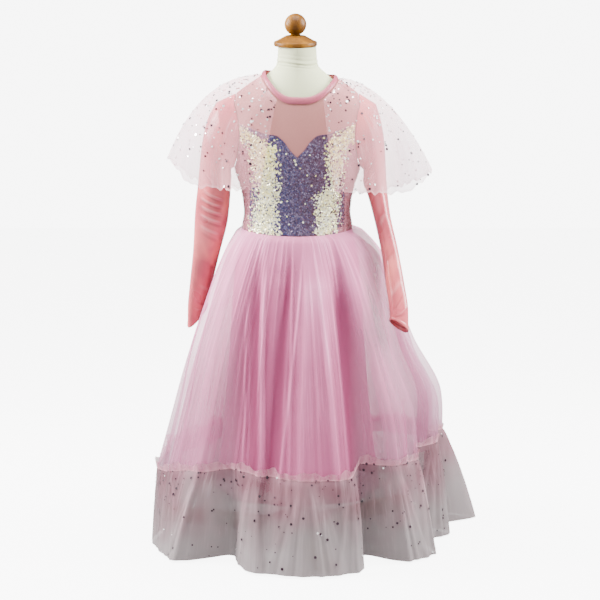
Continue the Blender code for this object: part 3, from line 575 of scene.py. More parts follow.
def skirt_ellipse(azimuth, left, right, front, back):
    """Radius of a section whose four sides stand at different distances."""
    s = sind(azimuth)
    c = cosd(azimuth)
    a = np.where(s > 0, right, left)
    b = np.where(c > 0, front, back)
    return 1 / np.sqrt((s / a) ** 2 + (c / b) ** 2)


def ring(azimuth, radius, z):
    """Points round the axis."""
    level = np.broadcast_to(z, np.shape(azimuth))
    return np.stack([radius * sind(azimuth), -radius * cosd(azimuth), level], axis=-1)


def waist_radius(azimuth, z, extra):
    """Radius of the bodice's outer face near the waist, plus extra."""
    half = form_size("half_w", z) + extra
    depths = (form_size(name, z) + extra for name in ("front", "back"))
    return skirt_ellipse(azimuth, half, half, *depths)


def lining_radius(azimuth, z):
    """Radius of the lining's outer face between the waist and its hem."""
    top = waist_z(azimuth)
    first_z, half_w, half_d = (LINING[name][0] for name in ("z", "half_w", "half_d"))
    high = waist_radius(azimuth, top, BODICE_OFFSET)
    low = skirt_ellipse(azimuth, half_w, half_w, half_d, half_d)
    return high + (low - high) * (top - z) / (top - first_z)


def skirt_radius(azimuth, drop):
    """Radius of the gathered overlay without its small gathers."""
    sides = [smooth(SKIRT["drop"], SKIRT[side], drop) for side in SIDES]
    lobes = smooth(SKIRT["drop"], SKIRT["lobes"], drop)
    share = fold_value("seam_r", azimuth) / skirt_ellipse(azimuth, *(SKIRT[side][-1] for side in SIDES)) - 1
    return skirt_ellipse(azimuth, *sides) * (1 + lobes * share)


def skirt_z(azimuth, drop):
    """Height on the overlay, from the waist seam to the ruffle seam."""
    top = waist_z(azimuth)
    return top + (fold_value("seam_z", azimuth) - top) * drop


def armhole_ring(side, beta):
    """Points just outside the armhole edge, beta 0 at the shoulder tip."""
    z = ARMHOLE_Z + ARMHOLE_HALF_HEIGHT * np.cos(beta)
    forward = np.sin(beta) * side < 0
    angle = np.where(forward, armhole_angle(z, "front"), 180 - armhole_angle(z, "back"))
    return form_point(side * angle, z, BODICE_OFFSET) + np.array([side * (SEAM_GAP + WALL), 0.0, 0.0])


# Meshes and pieces


def grid_mesh(name, points, closed, bunch=None):
    """Sheet through a grid of points, rows running down and columns anticlockwise from above.

    Corner (i, j) of the grid gets the UV (j / columns, i / rows), unwrapped across the join.
    The value bunch is kept for the shader: on the nets how closely they are gathered there, with painted shade where
    it falls below 0; on the sleeves their relief, which the shader paints as shade and highlight.
    """
    rows, cols = points.shape[:2]
    span = cols if closed else cols - 1
    i, j = np.meshgrid(np.arange(rows - 1), np.arange(span), indexing="ij")
    nxt = (j + 1) % cols
    quads = np.stack([i * cols + j, (i + 1) * cols + j, (i + 1) * cols + nxt, i * cols + nxt], axis=-1)
    mesh = bpy.data.meshes.new(name)
    mesh.from_pydata(points.reshape(-1, 3).tolist(), [], quads.reshape(-1, 4).tolist())
    u = np.linspace(0, 1, span + 1)
    v = np.linspace(0, 1, rows)
    corners = np.stack([u[j], v[i], u[j], v[i + 1], u[j + 1], v[i + 1], u[j + 1], v[i]], axis=-1)
    mesh.uv_layers.new(name="cloth").data.foreach_set("uv", corners.astype(np.float32).ravel())
    if bunch is not None:
        kept = mesh.attributes.new("bunch", "FLOAT", "POINT")
        kept.data.foreach_set("value", np.asarray(bunch, dtype=np.float32).ravel())
    mesh.shade_smooth()
    return mesh


def add_piece(name, mesh, material, nodes=()):
    """Puts a mesh into the scene as a piece that rides on the part and stands for nodes."""
    obj = bpy.data.objects.new(name, mesh)
    bpy.context.scene.collection.objects.link(obj)
    mesh.materials.append(material)
    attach(obj, "root")
    if nodes:
        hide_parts(*nodes)
    return obj


def cloth(name, points, closed, material, nodes, wall=0.0, bunch=None):
    """Piece made of the sheet through a grid of points, with a thin wall built inwards if one is given."""
    obj = add_piece(name, grid_mesh(name, points, closed, bunch), material, nodes)
    if wall:
        shell = obj.modifiers.new("wall", "SOLIDIFY")
        shell.thickness = wall
        shell.offset = -1
        shell.use_rim = True
    return obj


def disc_mesh(name, centres, normals, radii, spin, colours, gloss):
    """Many flat discs: each a regular polygon of its radius in the plane across its normal.

    Corner k of a disc is centre + radius * (cos(a) * side + sin(a) * across), a = spin + k turns.
    The fourth channel of its colour says how metallic it is.
    """
    helper = np.where(np.abs(normals[:, 2:3]) < 0.9, [[0.0, 0.0, 1.0]], [[1.0, 0.0, 0.0]])
    side = unit(np.cross(helper, normals))
    across = np.cross(normals, side)
    angle = spin[:, None] + np.arange(DISC_SIDES) * 2 * math.pi / DISC_SIDES
    offsets = np.cos(angle)[..., None] * side[:, None] + np.sin(angle)[..., None] * across[:, None]
    corners = centres[:, None] + radii[:, None, None] * offsets
    faces = np.arange(angle.size).reshape(angle.shape)
    mesh = bpy.data.meshes.new(name)
    mesh.from_pydata(corners.reshape(-1, 3).tolist(), [], faces.tolist())
    tone = mesh.color_attributes.new("tone", "FLOAT_COLOR", "POINT")
    full = np.concatenate([colours, gloss[:, None]], axis=1)
    tone.data.foreach_set("color", np.repeat(full, DISC_SIDES, axis=0).astype(np.float32).ravel())
    return mesh


def surface_normals(points, closed):
    """Unit normals of a grid surface, pointing away from the axis."""
    if closed:
        across = np.roll(points, -1, axis=1) - np.roll(points, 1, axis=1)
    else:
        across = np.gradient(points, axis=1)
    return unit(np.cross(np.gradient(points, axis=0), across))


def grid_at(points, row, col):
    """Bilinear value of a grid at fractional rows and columns."""
    r0 = np.clip(row.astype(int), 0, points.shape[0] - 2)
    c0 = np.clip(col.astype(int), 0, points.shape[1] - 2)
    fr = (row - r0)[:, None]
    fc = (col - c0)[:, None]
    top = points[r0, c0] * (1 - fc) + points[r0, c0 + 1] * fc
    low = points[r0 + 1, c0] * (1 - fc) + points[r0 + 1, c0 + 1] * fc
    return top * (1 - fr) + low * fr


# Shader writing


class Wave:
    """A node socket that can be added, taken away or multiplied like a number."""

    def __init__(self, paint, socket):
        self.paint = paint
        self.socket = socket

    def maths(self, kind, other):
        """A Math node of that kind on this and another value."""
        return self.paint.node("ShaderNodeMath", {"operation": kind}, {0: self, 1: other})

    def __add__(self, other):
        return self.maths("ADD", other)

    def __sub__(self, other):
        return self.maths("SUBTRACT", other)

    def __mul__(self, other):
        return self.maths("MULTIPLY", other)

    __radd__ = __add__
    __rmul__ = __mul__


class Paint:
    """The node tree of one material, or of the world."""

    def __init__(self, name, world=None):
        self.material = world or bpy.data.materials.new(name)
        self.material.use_nodes = True
        self.tree = self.material.node_tree
        self.shader = self.tree.nodes["Background" if world else "Principled BSDF"]

    def node(self, kind, settings=None, values=None, output=0):
        """Any other node: its settings, then the values or links of its sockets."""
        made = self.tree.nodes.new(kind)
        for name, value in (settings or {}).items():
            setattr(made, name, value)
        for name, value in (values or {}).items():
            self.feed(made.inputs[name], value)
        return Wave(self, made.outputs[output])

    def feed(self, socket, value):
        """A link or a plain value into a socket."""
        if isinstance(value, Wave):
            self.tree.links.new(value.socket, socket)
        else:
            socket.default_value = value

    def set(self, **inputs):
        """Sockets of the shader by name, with _ for a space."""
        for name, value in inputs.items():
            self.feed(self.shader.inputs[name.replace("_", " ")], value)

    def place(self):
        """The point on the object."""
        return self.node("ShaderNodeTexCoord", {}, {}, "Object")

    def bunch(self):
        """How closely the net is gathered, from the mesh's own attribute; on the sleeves it holds their relief, for
        painted shade and highlight.
        """
        return self.node("ShaderNodeAttribute", {"attribute_name": "bunch"}, {}, "Fac")

    def noise(self, scale, detail=2.0, rough=0.5, stretch=None, on_uv=False):
        """Soft noise from 0 to 1 over the object, or over the cloth's UV map, stretched along each axis."""
        at = self.node("ShaderNodeUVMap", {"uv_map": "cloth"}) if on_uv else self.place()
        if stretch:
            at = self.node("ShaderNodeMapping", {}, {"Vector": at, "Scale": stretch})
        return self.node("ShaderNodeTexNoise", {},
                         {"Vector": at, "Scale": scale, "Detail": detail, "Roughness": rough})

    def mix(self, factor, low, high):
        """Blend of two colours."""
        made = self.tree.nodes.new("ShaderNodeMix")
        made.data_type = "RGBA"
        for index, value in ((0, factor), (6, low), (7, high)):
            if not isinstance(value, Wave) and index:
                value = (*value, 1)
            self.feed(made.inputs[index], value)
        return Wave(self, made.outputs[2])

    def ramp(self, factor, stops):
        """Colour ramp through (place, colour) stops."""
        made = self.node("ShaderNodeValToRGB", {}, {"Fac": factor})
        elements = made.socket.node.color_ramp.elements
        while len(elements) < len(stops):
            elements.new(0.5)
        for element, (place, colour) in zip(elements, stops):
            element.position = place
            element.color = (*colour, 1)
        return made

    def spread(self, value, low, high, to_low=0.0, to_high=1.0):
        """Value from low..high carried to to_low..to_high and held there."""
        return self.node("ShaderNodeMapRange", {"clamp": True},
                         {"Value": value, "From Min": low, "From Max": high, "To Min": to_low, "To Max": to_high})

    def sides(self, middle, inner, outer, flank):
        """The middle's colour, going over to the flank's where |x| grows from inner to outer."""
        x = self.node("ShaderNodeSeparateXYZ", {}, {"Vector": self.place()})
        return self.mix(self.spread(x * x, inner ** 2, outer ** 2), middle, flank)

    def seen(self, beyond):
        """1 where the camera looks straight at it, beyond where it looks through cloth, 0 for other rays."""
        camera = self.node("ShaderNodeLightPath", {}, {}, "Is Camera Ray")
        passed = self.spread(self.node("ShaderNodeLightPath", {}, {}, "Transparent Depth"), 0.4, 0.6)
        return camera * (1 + (beyond - 1) * passed)

    def bump(self, height, distance, strength):
        """Relief from a height map."""
        relief = self.node("ShaderNodeBump", {}, {"Height": height, "Distance": distance, "Strength": strength})
        self.set(Normal=relief)


def tulle(name, pale, deep, edge, low, high, streaks, lines=0.45, hem=None, wings=None):
    """Fine net: paler and denser where it bunches, with broken threads of light running down it, and, if wings are
    given, painted shade towards its flanks.
    """
    paint = Paint(name)
    fine = paint.noise(1.0, 4.0, 0.65, (streaks * 5, 2.2, 1), True)
    patches = paint.noise(1.0, 2.0, 0.5, (streaks * 0.35, 1.6, 1), True)
    cloud = paint.noise(11.0)
    mesh = paint.noise(1100.0, 1.0)
    threads = paint.spread(fine, 0.5, 0.72) * paint.spread(patches, 0.42, 0.62)
    dense = paint.bunch() + threads * lines + (cloud - 0.5) * 0.25 + (mesh - 0.5) * 0.1
    tone = paint.mix(paint.spread(dense, -0.25, 0.85), deep, pale)
    tone = paint.mix(paint.spread(dense, 0.55, 1.25), tone, edge)
    if hem:
        uv = paint.node("ShaderNodeUVMap", {"uv_map": "cloth"})
        down = paint.node("ShaderNodeSeparateXYZ", {}, {"Vector": uv}, 1)
        tone = paint.mix(paint.spread(down + (cloud - 0.5) * 1.4, 0.1, 0.85), tone, hem)
    # Painted shade: darker and greyer towards the flanks
    if wings:
        tone = paint.sides(tone, *wings)
    paint.set(Base_Color=tone, Alpha=paint.spread(dense, -0.3, 0.95, low, high))
    paint.set(Roughness=0.85, Specular_IOR_Level=0.12)
    paint.bump(fine, 0.0008, 0.35)
    return paint.material


def shiny_jersey(name, dark, base, warm, deep, crest, rough):
    """Smooth stretch jersey: soft colour drift, fine knit lines and a satin gloss, with painted shade in the troughs
    of its creases and painted highlight on their ridges.
    """
    paint = Paint(name)
    drift = paint.noise(13.0)
    cloud = paint.noise(34.0, stretch=(1.0, 1.0, 0.4))
    tone = paint.mix(paint.spread(drift, 0.35, 0.65), base, warm)
    tone = paint.mix(paint.spread(cloud, 0.3, 0.6), dark, tone)
    # Painted shade and highlight: the relief darkens troughs towards deep and lightens ridges towards crest
    relief_shade = paint.bunch()
    tone = paint.mix(paint.spread(relief_shade, -0.02, -0.12), tone, deep)
    paint.set(Base_Color=paint.mix(paint.spread(relief_shade, 0.02, 0.14), tone, crest))
    paint.bump(paint.noise(1500.0, 1.0, stretch=(1.0, 1.0, 0.35)), 0.0002, 0.2)
    paint.set(Roughness=paint.spread(drift, 0.3, 0.7, rough - 0.04, rough + 0.05))
    paint.set(Sheen_Weight=0.25, Sheen_Roughness=0.4, Specular_IOR_Level=0.55)
    return paint.material


def wood(name, dark, middle, light, gloss):
    """Wood with long grain and a few darker rings under a varnish of some gloss."""
    paint = Paint(name)
    rings = paint.noise(4.0, 4.0, 0.6, (9.0, 9.0, 2.0))
    fibre = paint.noise(900.0, stretch=(1.0, 1.0, 0.08))
    tone = paint.spread(rings * 0.75 + fibre * 0.25, 0.35, 0.65)
    paint.set(Base_Color=paint.ramp(tone, ((0.0, dark), (0.55, middle), (1.0, light))))
    paint.set(Roughness=0.5, Specular_IOR_Level=0.15, Coat_Weight=gloss, Coat_Roughness=0.2)
    paint.bump(fibre, 0.0002, 0.2)
    return paint.material


def fabric(name, drift, low, high, rough, specular, grain, relief, sides=None, holes=None):
    """Plain cloth: two tones drifting at a scale, a fine grain in relief and, if given, other sides or holes.

    grain is what noise takes, relief the depth and strength of the bump, sides what Paint.sides
    takes, and holes the least and greatest opacity.
    """
    paint = Paint(name)
    tone = paint.mix(paint.noise(drift), low, high)
    thread = paint.noise(*grain)
    paint.set(Base_Color=paint.sides(tone, *sides) if sides else tone, Roughness=rough, Specular_IOR_Level=specular)
    if holes:
        paint.set(Alpha=paint.spread(thread, 0.3, 0.7, *holes))
    paint.bump(thread, *relief)
    return paint.material


# Grain and relief of the satins: threads along the cloth's UV map
SATIN = (0.3, (1.0, 1.0, 0.5, (400.0, 30.0, 1.0), True), (0.0003, 0.3))


def flake(name, rough):
    """Sequin or foil: its own attribute holds the colour of each and how metallic it is."""
    paint = Paint(name)
    tone, gloss = (paint.node("ShaderNodeVertexColor", {"layer_name": "tone"}, {}, out) for out in ("Color", "Alpha"))
    paint.set(Base_Color=tone, Metallic=gloss, Specular_IOR_Level=0.3)
    paint.set(Roughness=paint.spread(paint.noise(300.0, 1.0), 0.3, 0.7, rough - 0.06, rough + 0.08))
    return paint.material


# Cloth pieces


def fine_ridges(count, starts):
    """Seeded table of thin gathers: azimuth at the waist and hem, half width, height, bunch, start."""
    waist = (np.arange(count) + rng.uniform(-0.9, 0.9, count)) * 360 / count - 180
    hem = waist + rng.normal(0, 1.6, count)
    half = rng.uniform(0.45, 1.3, count)
    tall = rng.uniform(0.2, 1.0, count) ** 1.6
    start = rng.uniform(-0.2, 1, count) ** 3 * starts - 0.1
    tall = tall * np.where(np.abs(waist) > 50, 0.55, 1.0)
    return np.stack([waist, half * 1.2, hem, half, tall * 0.0024, tall * 0.17, start], axis=1)


FINE = fine_ridges(FINE_RIDGES, 0.5)
FOLD_TABLE = np.concatenate([np.array(SKIRT_FOLDS, dtype=float), FINE])


def folds(azimuth, drop, rows=FOLD_TABLE):
    """Height and bunching of all folds at an azimuth and a share of the drop.

    Each fold is a soft-shouldered ridge 1 / (1 + t^4) whose middle drifts from waist to hem,
    fast at first, while its half width grows evenly; it swells up from its start over a fifth of the drop.
    """
    azimuth, drop = np.broadcast_arrays(np.asarray(azimuth, dtype=float), np.asarray(drop, dtype=float))
    height = np.zeros(azimuth.shape)
    bunch = np.zeros(azimuth.shape)
    drift = held(drop) ** 0.6
    for top, top_half, hem, hem_half, tall, dense, start in rows:
        half = top_half + (hem_half - top_half) * drop
        crest = ridge(azimuth, top + (hem - top) * drift, half, held((drop - start) / 0.2))
        height = height + tall * crest
        bunch = bunch + dense * crest
    return height, bunch


def side_ease(azimuth, drop):
    """How far the tulle falls in at the right side: a bell round the azimuth, a half sine down the drop."""
    bell = np.exp(-(away(azimuth, EASE_AZIMUTH) / EASE_REACH) ** 2)
    return EASE_DEPTH * bell * np.sin(math.pi * held(drop) ** 1.25) ** 1.5


def overlay_surface(azimuth, drop):
    """Points of the gathered overlay at azimuths and shares of its drop.

    Radius = section radius with its large folds + smaller folds, which vanish at the waist seam.
    """
    first = SKIRT["drop"][0]
    low = np.maximum(drop, first)
    waist = waist_radius(azimuth, waist_z(azimuth), BODICE_OFFSET + SEAM_GAP + WALL)
    open_share = held(drop / first)
    radius = waist + (skirt_radius(azimuth, low) - waist) * open_share
    radius = radius + folds(azimuth, drop)[0] * open_share - side_ease(azimuth, drop)
    return ring(azimuth, radius, skirt_z(azimuth, drop))


def make_overlay(material):
    """Gathered tulle overlay, waist seam to ruffle seam: denser at its gathers, thinner where it opens, and thinner
    and deeper in colour low in front, as painted shade.
    """
    azimuth, drop = around("tulle_overlay")
    drop = drop ** 1.2
    front = frontness(azimuth)
    opened = OPENING * held(drop * 3 - 0.6) * (0.25 + 0.75 * front)
    opened = opened * (1 - 0.5 * (1 - front) * held(drop * 6 - 5))
    gathered = sum(dense * held(1 - drop * fast) for dense, fast in WAIST_GATHERS)
    bunch = folds(azimuth, drop)[1] + gathered - opened + SIDE_DENSITY * (1 - front)
    # Painted shade: thinner and deeper in colour down the front towards the hem
    bunch = bunch - 0.2 * front * held(drop * 2 - 0.8)
    return cloth("tulle_overlay", overlay_surface(azimuth, drop), True, material, ["skirt_overlay"],
                 bunch=bunch)


def fan_table():
    """Creases that spread from each pinch of the ruffle's seam, in the columns of SKIRT_FOLDS."""
    rows = []
    for pinch, reach in PINCHES:
        for k in range(FAN_CREASES):
            lean = (2 * k / (FAN_CREASES - 1) - 1) * reach + rng.normal(0, 1.2)
            tall = rng.uniform(0.35, 1.0)
            half = rng.uniform(0.8, 1.9)
            rows.append((pinch + lean * 0.12, 0.5, pinch + lean, half, tall * 0.004, tall * 0.34, 0.0))
    return np.array(rows)


FANS = fan_table()


def seam_line(azimuth, out=0.0, up=0.0):
    """Points on the ruffle seam, moved out and up."""
    return ring(azimuth, fold_value("seam_r", azimuth) + folds(azimuth, 1.0)[0] + out,
                fold_value("seam_z", azimuth) + up)


def ruffle_surface(azimuth, v):
    """Points of the ruffle, v from 0 at its seam to 1 at the floor hem.

    Radius = from the seam's to the hem's by a power of v + the overlay's folds, fading, + the fans' creases.
    """
    seam_r, hem_r = (fold_value(name, azimuth) for name in ("seam_r", "hem_r"))
    seam_z = fold_value("seam_z", azimuth) - CURVED_SEAM_GAP
    radius = seam_r + (hem_r - seam_r) * v ** RUFFLE_FLARE
    radius = radius + folds(azimuth, 1.0)[0] * (1 - v) ** 2 + folds(azimuth, v, FANS)[0] * v ** 0.7
    hem_z = HEM_Z - HEM_BACK_FALL * held(0.3 - cosd(azimuth))
    return ring(azimuth, radius, seam_z + (hem_z - seam_z) * v)


def make_ruffle(material):
    """Gathered hem ruffle, with paler panels and darker bands of painted shade for its hollows."""
    azimuth, v = around("hem_ruffle_tulle")
    panels = sum(ridge(azimuth, at, half, dense) for at, half, dense in RUFFLE_PANELS)
    bunch = folds(azimuth, v, FANS)[1] + panels + 0.25 * held(1 - v * 12)
    return cloth("hem_ruffle_tulle", ruffle_surface(azimuth, v), True, material, ["hem_ruffle"],
                 bunch=bunch)


def underlayer_surface(azimuth, share):
    """Points of the underlayer, share 0 at its top to 1 at its hem.

    Radius = close to the lining at the top, then the overlay's less an inset, with half its folds.
    """
    drops = np.append(UNDER_TOP_DROP, UNDERLAYER["drop"])
    hug = lining_radius(azimuth, skirt_z(azimuth, UNDER_TOP_DROP)) + SEAM_GAP + WALL + UNDER_GATHER
    drop = UNDER_TOP_DROP + (drops[-1] - UNDER_TOP_DROP) * share
    inset = smooth(drops[1:], UNDERLAYER["inset"], drop)
    outer = skirt_radius(azimuth, np.clip(drop, drops[1], 1.0)) - inset
    radius = hug + (outer - hug) * held((drop - drops[0]) / (drops[1] - drops[0]))
    radius = radius + 0.5 * folds(azimuth, drop)[0] - side_ease(azimuth, drop)
    return ring(azimuth, radius, skirt_z(azimuth, drop))


def make_underlayer(material):
    """Tulle layer under the overlay."""
    azimuth, share = around("tulle_underlayer")
    bunch = folds(azimuth + 4.0, share, FINE)[1] + 0.6 * folds(azimuth, share)[1]
    bunch = bunch + SIDE_DENSITY * (1 - frontness(azimuth))
    return cloth("tulle_underlayer", underlayer_surface(azimuth, share), True, material, ["skirt_underlayer"],
                 bunch=bunch)


def make_lining(material):
    """Satin slip: rings from the waist down its section table with soft waves at the hem."""
    azimuth, share = around("satin_lining")
    levels = LINING["z"][::-1]
    top = waist_z(azimuth)
    z = top + (levels[0] - top) * share
    half_w, half_d, wave = (smooth(levels, LINING[name][::-1], z) for name in ("half_w", "half_d", "wave"))
    low = skirt_ellipse(azimuth, half_w, half_w, half_d, half_d) + wave * cosd(azimuth * LINING_WAVES)
    high = waist_radius(azimuth, top, BODICE_OFFSET)
    points = ring(azimuth, high + (low - high) * held((top - z) / (top - levels[-1])), z)
    return cloth("satin_lining", points, True, material, ["skirt_lining"], NET_WALL)


def make_header(material):
    """Small frill standing up above the ruffle seam, v from its foot to its free edge.

    It leans out by sines round the seam that grow with v, and its height is a sum of slower sines.
    """
    azimuth, v = around("ruffle_header")
    lean = FRILL_FOOT + (FRILL_LEAN + sines(azimuth, LEAN_SINES)) * v
    points = seam_line(azimuth) + ring(azimuth, 1.0, 0.0) * lean[..., None]
    points[..., 2] += (FRILL_HEIGHT + sines(azimuth, HEIGHT_SINES)) * v - FRILL_SUNK
    bunch = sines(azimuth, BUNCH_SINES) + 0.5 * (1 - v) ** 3
    return cloth("ruffle_header", points[::-1], True, material, (), bunch=bunch[::-1])


def make_seam_tape(material):
    """Narrow pink tape on the ruffle seam, a half-round strip following the seam."""
    azimuth, turn = around("seam_tape")
    turn = turn * math.pi
    points = seam_line(azimuth, 0.0004, -0.0012) + ring(azimuth, 1.0, 0.0) * (TAPE_RADIUS * np.sin(turn))[..., None]
    points[..., 2] += TAPE_RADIUS * np.cos(turn)
    return cloth("seam_tape", points, True, material, ())


def make_bodice_front(material):
    """Backing net of the sequinned panel: the form's points moved out, waist to sweetheart edge."""
    u = np.linspace(-1, 1, PANEL_POINTS)
    angle, z = lower_panel(u, heart_edge(u)[1], FRONT_ROWS, "front")
    return cloth("bodice_front_net", form_point(np.sign(u) * angle, z, BODICE_OFFSET), False, material,
                 ["bodice_front"], NET_WALL)


def sequin_colours(x, z, roll, shade):
    """Colour and gloss of each sequin: purple between the bands, pink outside, and in the bands cream, a painted
    reflection of the side softboxes.

    The edges of the bands are uneven by the same random roll that scatters stray cream sequins, painted glints, over
    the purple middle.
    """
    ragged = (roll[:, 0] - 0.5) * 0.02
    edge = {name: smooth(REFLECTION_BANDS["z"], REFLECTION_BANDS[name], z) + ragged for name in REFLECTION_BANDS if name != "z"}
    left = (x > edge["left_out"]) & (x < edge["left_in"])
    right = (x > edge["right_in"]) & (x < edge["right_out"])
    middle = (x >= edge["left_in"]) & (x <= edge["right_in"])
    # Sequins painted cream with the softboxes' reflection: most of the bands, and a few stray painted glints in the
    # middle
    painted_reflection = ((left | right) & (roll[:, 1] > 0.13)) | (middle & (roll[:, 1] > 0.991))
    outer = ~left & ~right & ~middle
    lilac = outer & (z < 0.675) & (z > 0.575) & (np.abs(x) < 0.082) & (roll[:, 2] < 0.75)
    pink = outer & ~lilac
    drift = held(0.5 - x / 0.07 + (roll[:, 2] - 0.5) * 1.0)[:, None]
    dusk = PLUM + (BLUE - PLUM) * drift
    purple = dusk + (HAZE - dusk) * roll[:, 3:4] ** 2.6
    # Cream of the painted reflection, more golden towards the top
    ivory = REFLECTION_CREAM - held((z - 0.65) / 0.08)[:, None] * REFLECTION_GOLDEN + REFLECTION_CREAM_SPREAD * roll[:, 3:4]
    rose = ROSE + ROSE_SPREAD * roll[:, 3:4] ** 2
    tone = np.where(painted_reflection[:, None], ivory, np.where(pink[:, None], rose, purple * 1.02))
    gloss = np.where(painted_reflection, 0.18, np.where(pink, 0.08, 0.3))
    # Painted glitter: every sequin but the pink ones is made darker or lighter by its random shade
    tone = np.where(pink[:, None], tone, tone * np.where(painted_reflection, 0.6 + 0.4 * shade, shade)[:, None])
    return held(tone), painted_reflection, gloss


def outward(theta, z):
    """Unit normals of the form."""
    return unit(form_point(theta, z, 0.01) - form_point(theta, z, 0.0))


def make_sequins(material):
    """Sequins in staggered rows over the front panel, each tilted a little its own way."""
    theta, z = np.meshgrid(np.arange(-90, 90, SEQUIN_TURN), np.arange(0.565, 0.768, SEQUIN_PITCH * 0.8))
    theta = theta + (np.arange(len(z)) % 2)[:, None] * SEQUIN_TURN / 2
    theta = (theta + rng.normal(0, 0.22, theta.shape)).ravel()
    z = (z + rng.normal(0, 0.00035, z.shape)).ravel()
    x = form_size("half_w", z) * sind(theta)
    keep = (np.abs(theta) < armhole_angle(z, "front") - 1.0) & (z < heart_z(x) - 0.0012)
    keep &= z > waist_z(theta) + WAIST_GAP + 0.0008
    theta, z, x = theta[keep], z[keep], x[keep]
    roll = rng.random((len(z), 6))
    # Random shade of each sequin, painted glitter of sequins catching the light or not
    shade = 0.6 + 0.6 * rng.random(len(z)) ** 0.7
    colours, painted_reflection, gloss = sequin_colours(x, z, roll, shade)
    at = form_point(theta, z, BODICE_OFFSET + 0.0006 + 0.0007 * roll[:, 4])
    tilt = rng.normal(0, 1, (len(z), 3)) * np.where(painted_reflection, 0.3, 0.16)[:, None]
    radius = SEQUIN_RADIUS * np.where(painted_reflection, 1.08, 0.8) * (0.8 + 0.35 * roll[:, 5])
    mesh = disc_mesh("sequins", at, unit(outward(theta, z) + tilt), radius, roll[:, 0] * 6, colours, gloss)
    return add_piece("sequins", mesh, material, ())


def make_piping(material):
    """Thin cord along the sweetheart edge: a round profile carried along the edge."""
    theta, z = heart_edge(np.linspace(-1, 1, 161))
    path = form_point(theta, z, BODICE_OFFSET + 0.0004)[:, None]
    out = outward(theta, z)[:, None]
    side = np.cross(unit(np.gradient(path, axis=0)), out)
    turn = (np.arange(8) * 2 * math.pi / 8)[::-1, None]
    points = path + 0.0005 * (np.cos(turn) * out + np.sin(turn) * side)
    return cloth("sweetheart_piping", points, True, material, ())


def make_yoke(material):
    """Sheer mesh yoke: the form's points moved out, sweetheart edge to neck and shoulders."""
    u = np.linspace(-1, 1, PANEL_POINTS)
    top = upper_edge(np.abs(u), np.sign(u), "front")
    angle, z = upper_panel(u, top, heart_edge(u)[1] + CURVED_SEAM_GAP, PANEL_ROWS, "front")
    return cloth("yoke_net", form_point(np.sign(u) * angle, z, BODICE_OFFSET), False, material, ["chest_yoke"])


def make_back(name, node, side, material):
    """Back panel: the form's points moved out, with soft sine creases across the waist."""
    u = np.linspace(0, 1, BACK_POINTS)
    chest = np.full(u.shape, CHEST_LINE_Z)
    upper = upper_panel(u, upper_edge(u, side, "back"), chest, PANEL_ROWS, "back")
    lower = lower_panel(u, chest, PANEL_ROWS, "back")
    angle, z = [np.concatenate([high, low[1:]]) for high, low in zip(upper, lower)]
    angle = np.maximum(angle, np.degrees(SEAM_GAP / form_size("half_w", z)))
    crease = 0.0005 * np.sin(z * 420 + side * u * 2.0) * held((0.66 - z) / 0.06) * np.sin(math.pi * u)
    points = form_point(180 - side * angle, z, BODICE_OFFSET + crease)
    return cloth(name, points[:, ::-side], False, material, [node], NET_WALL)


def make_placket(material):
    """Closing strip over the centre-back opening, slightly crowned across."""
    z = np.linspace(PLACKET_TOP_Z, WAIST_Z + WAIST_FRONT_DIP + 0.002, 60)[:, None]
    half = np.degrees(PLACKET_HALF_WIDTH / form_size("half_w", z))
    across = np.linspace(-1, 1, 13)[None, :]
    lift = BODICE_OFFSET + PLACKET_CLEARANCE + WALL + 0.0005 * (1 - across ** 4)
    return cloth("back_placket_strip", form_point(180 + half * across, z + 0 * across, lift), False, material,
                 ["back_placket"], JERSEY_WALL)


def make_binding(material):
    """Satin binding: a rounded strip whose profile bulges by a sine across its width."""
    angle, drop = around("neck_binding_satin")
    pucker = 0.00015 * sind(angle * 60)
    offset = BODICE_OFFSET + 2 * SEAM_GAP + BINDING_THICK + (0.0012 + pucker) * np.sin(math.pi * drop)
    return cloth("neck_binding_satin", form_point(*neck_edge(angle, drop), offset), True, material,
                 ["neck_binding"], BINDING_WALL)


def cape_folds(at):
    """Height and bunching of the soft folds at neckline azimuths, each 1 / (1 + t^4)."""
    return [sum(row[k] * ridge(at, *row[:2]) for row in CAPE_FOLDS) for k in (2, 3)]


def cape_surface(at, v):
    """Points of the cape at neckline azimuths and shares v of its length.

    Each line is the curve through neck, middle and hem; waves grow outwards with v.
    """
    azimuth = CAPE["azimuth"]
    mid, hem = (smooth_points(azimuth, CAPE, edge, at) for edge in ("mid_", "hem_"))
    neck = form_point(*neck_edge(at, CAPE_DROP), CAPE_OFFSET)
    turn = 2 * math.pi * ((at - azimuth[0]) / (azimuth[-1] - azimuth[0]))
    wave = CAPE_WAVE * np.cos(CAPE_WAVES * turn) + cape_folds(at)[0]
    ragged = 0.0022 * np.cos(41 * turn) + 0.0016 * np.cos(73 * turn + 2)
    k = v[..., None]
    points = neck * (1 - k) * (1 - 2 * k) + mid * 4 * k * (1 - k) + hem * k * (2 * k - 1)
    points = points + ring(at, 1.0, 0.0) * (wave * v ** CAPE_WAVE_GROWTH)[..., None]
    points[..., 2] += ragged * held(v * 4 - 3)
    return points


def make_cape(material):
    """Sheer cape sewn into the neckline, denser at its neck, its wings and its edge."""
    columns, rows = GRIDS["cape_net"]
    at, v = np.meshgrid(np.linspace(*CAPE["azimuth"][[0, -1]], columns), np.linspace(0, 1, rows) ** CAPE_CROWDING)
    points = cape_surface(at, v)
    wings = 0.34 * held(np.abs(points[..., 0]) * 12 - 1.3)
    edges = 0.5 * held(1 - v * 14) + 0.4 * held(v * 50 - 49)
    cloth("cape_net", points, False, material, ["cape"], bunch=cape_folds(at)[1] * v + wings + edges)
    return points


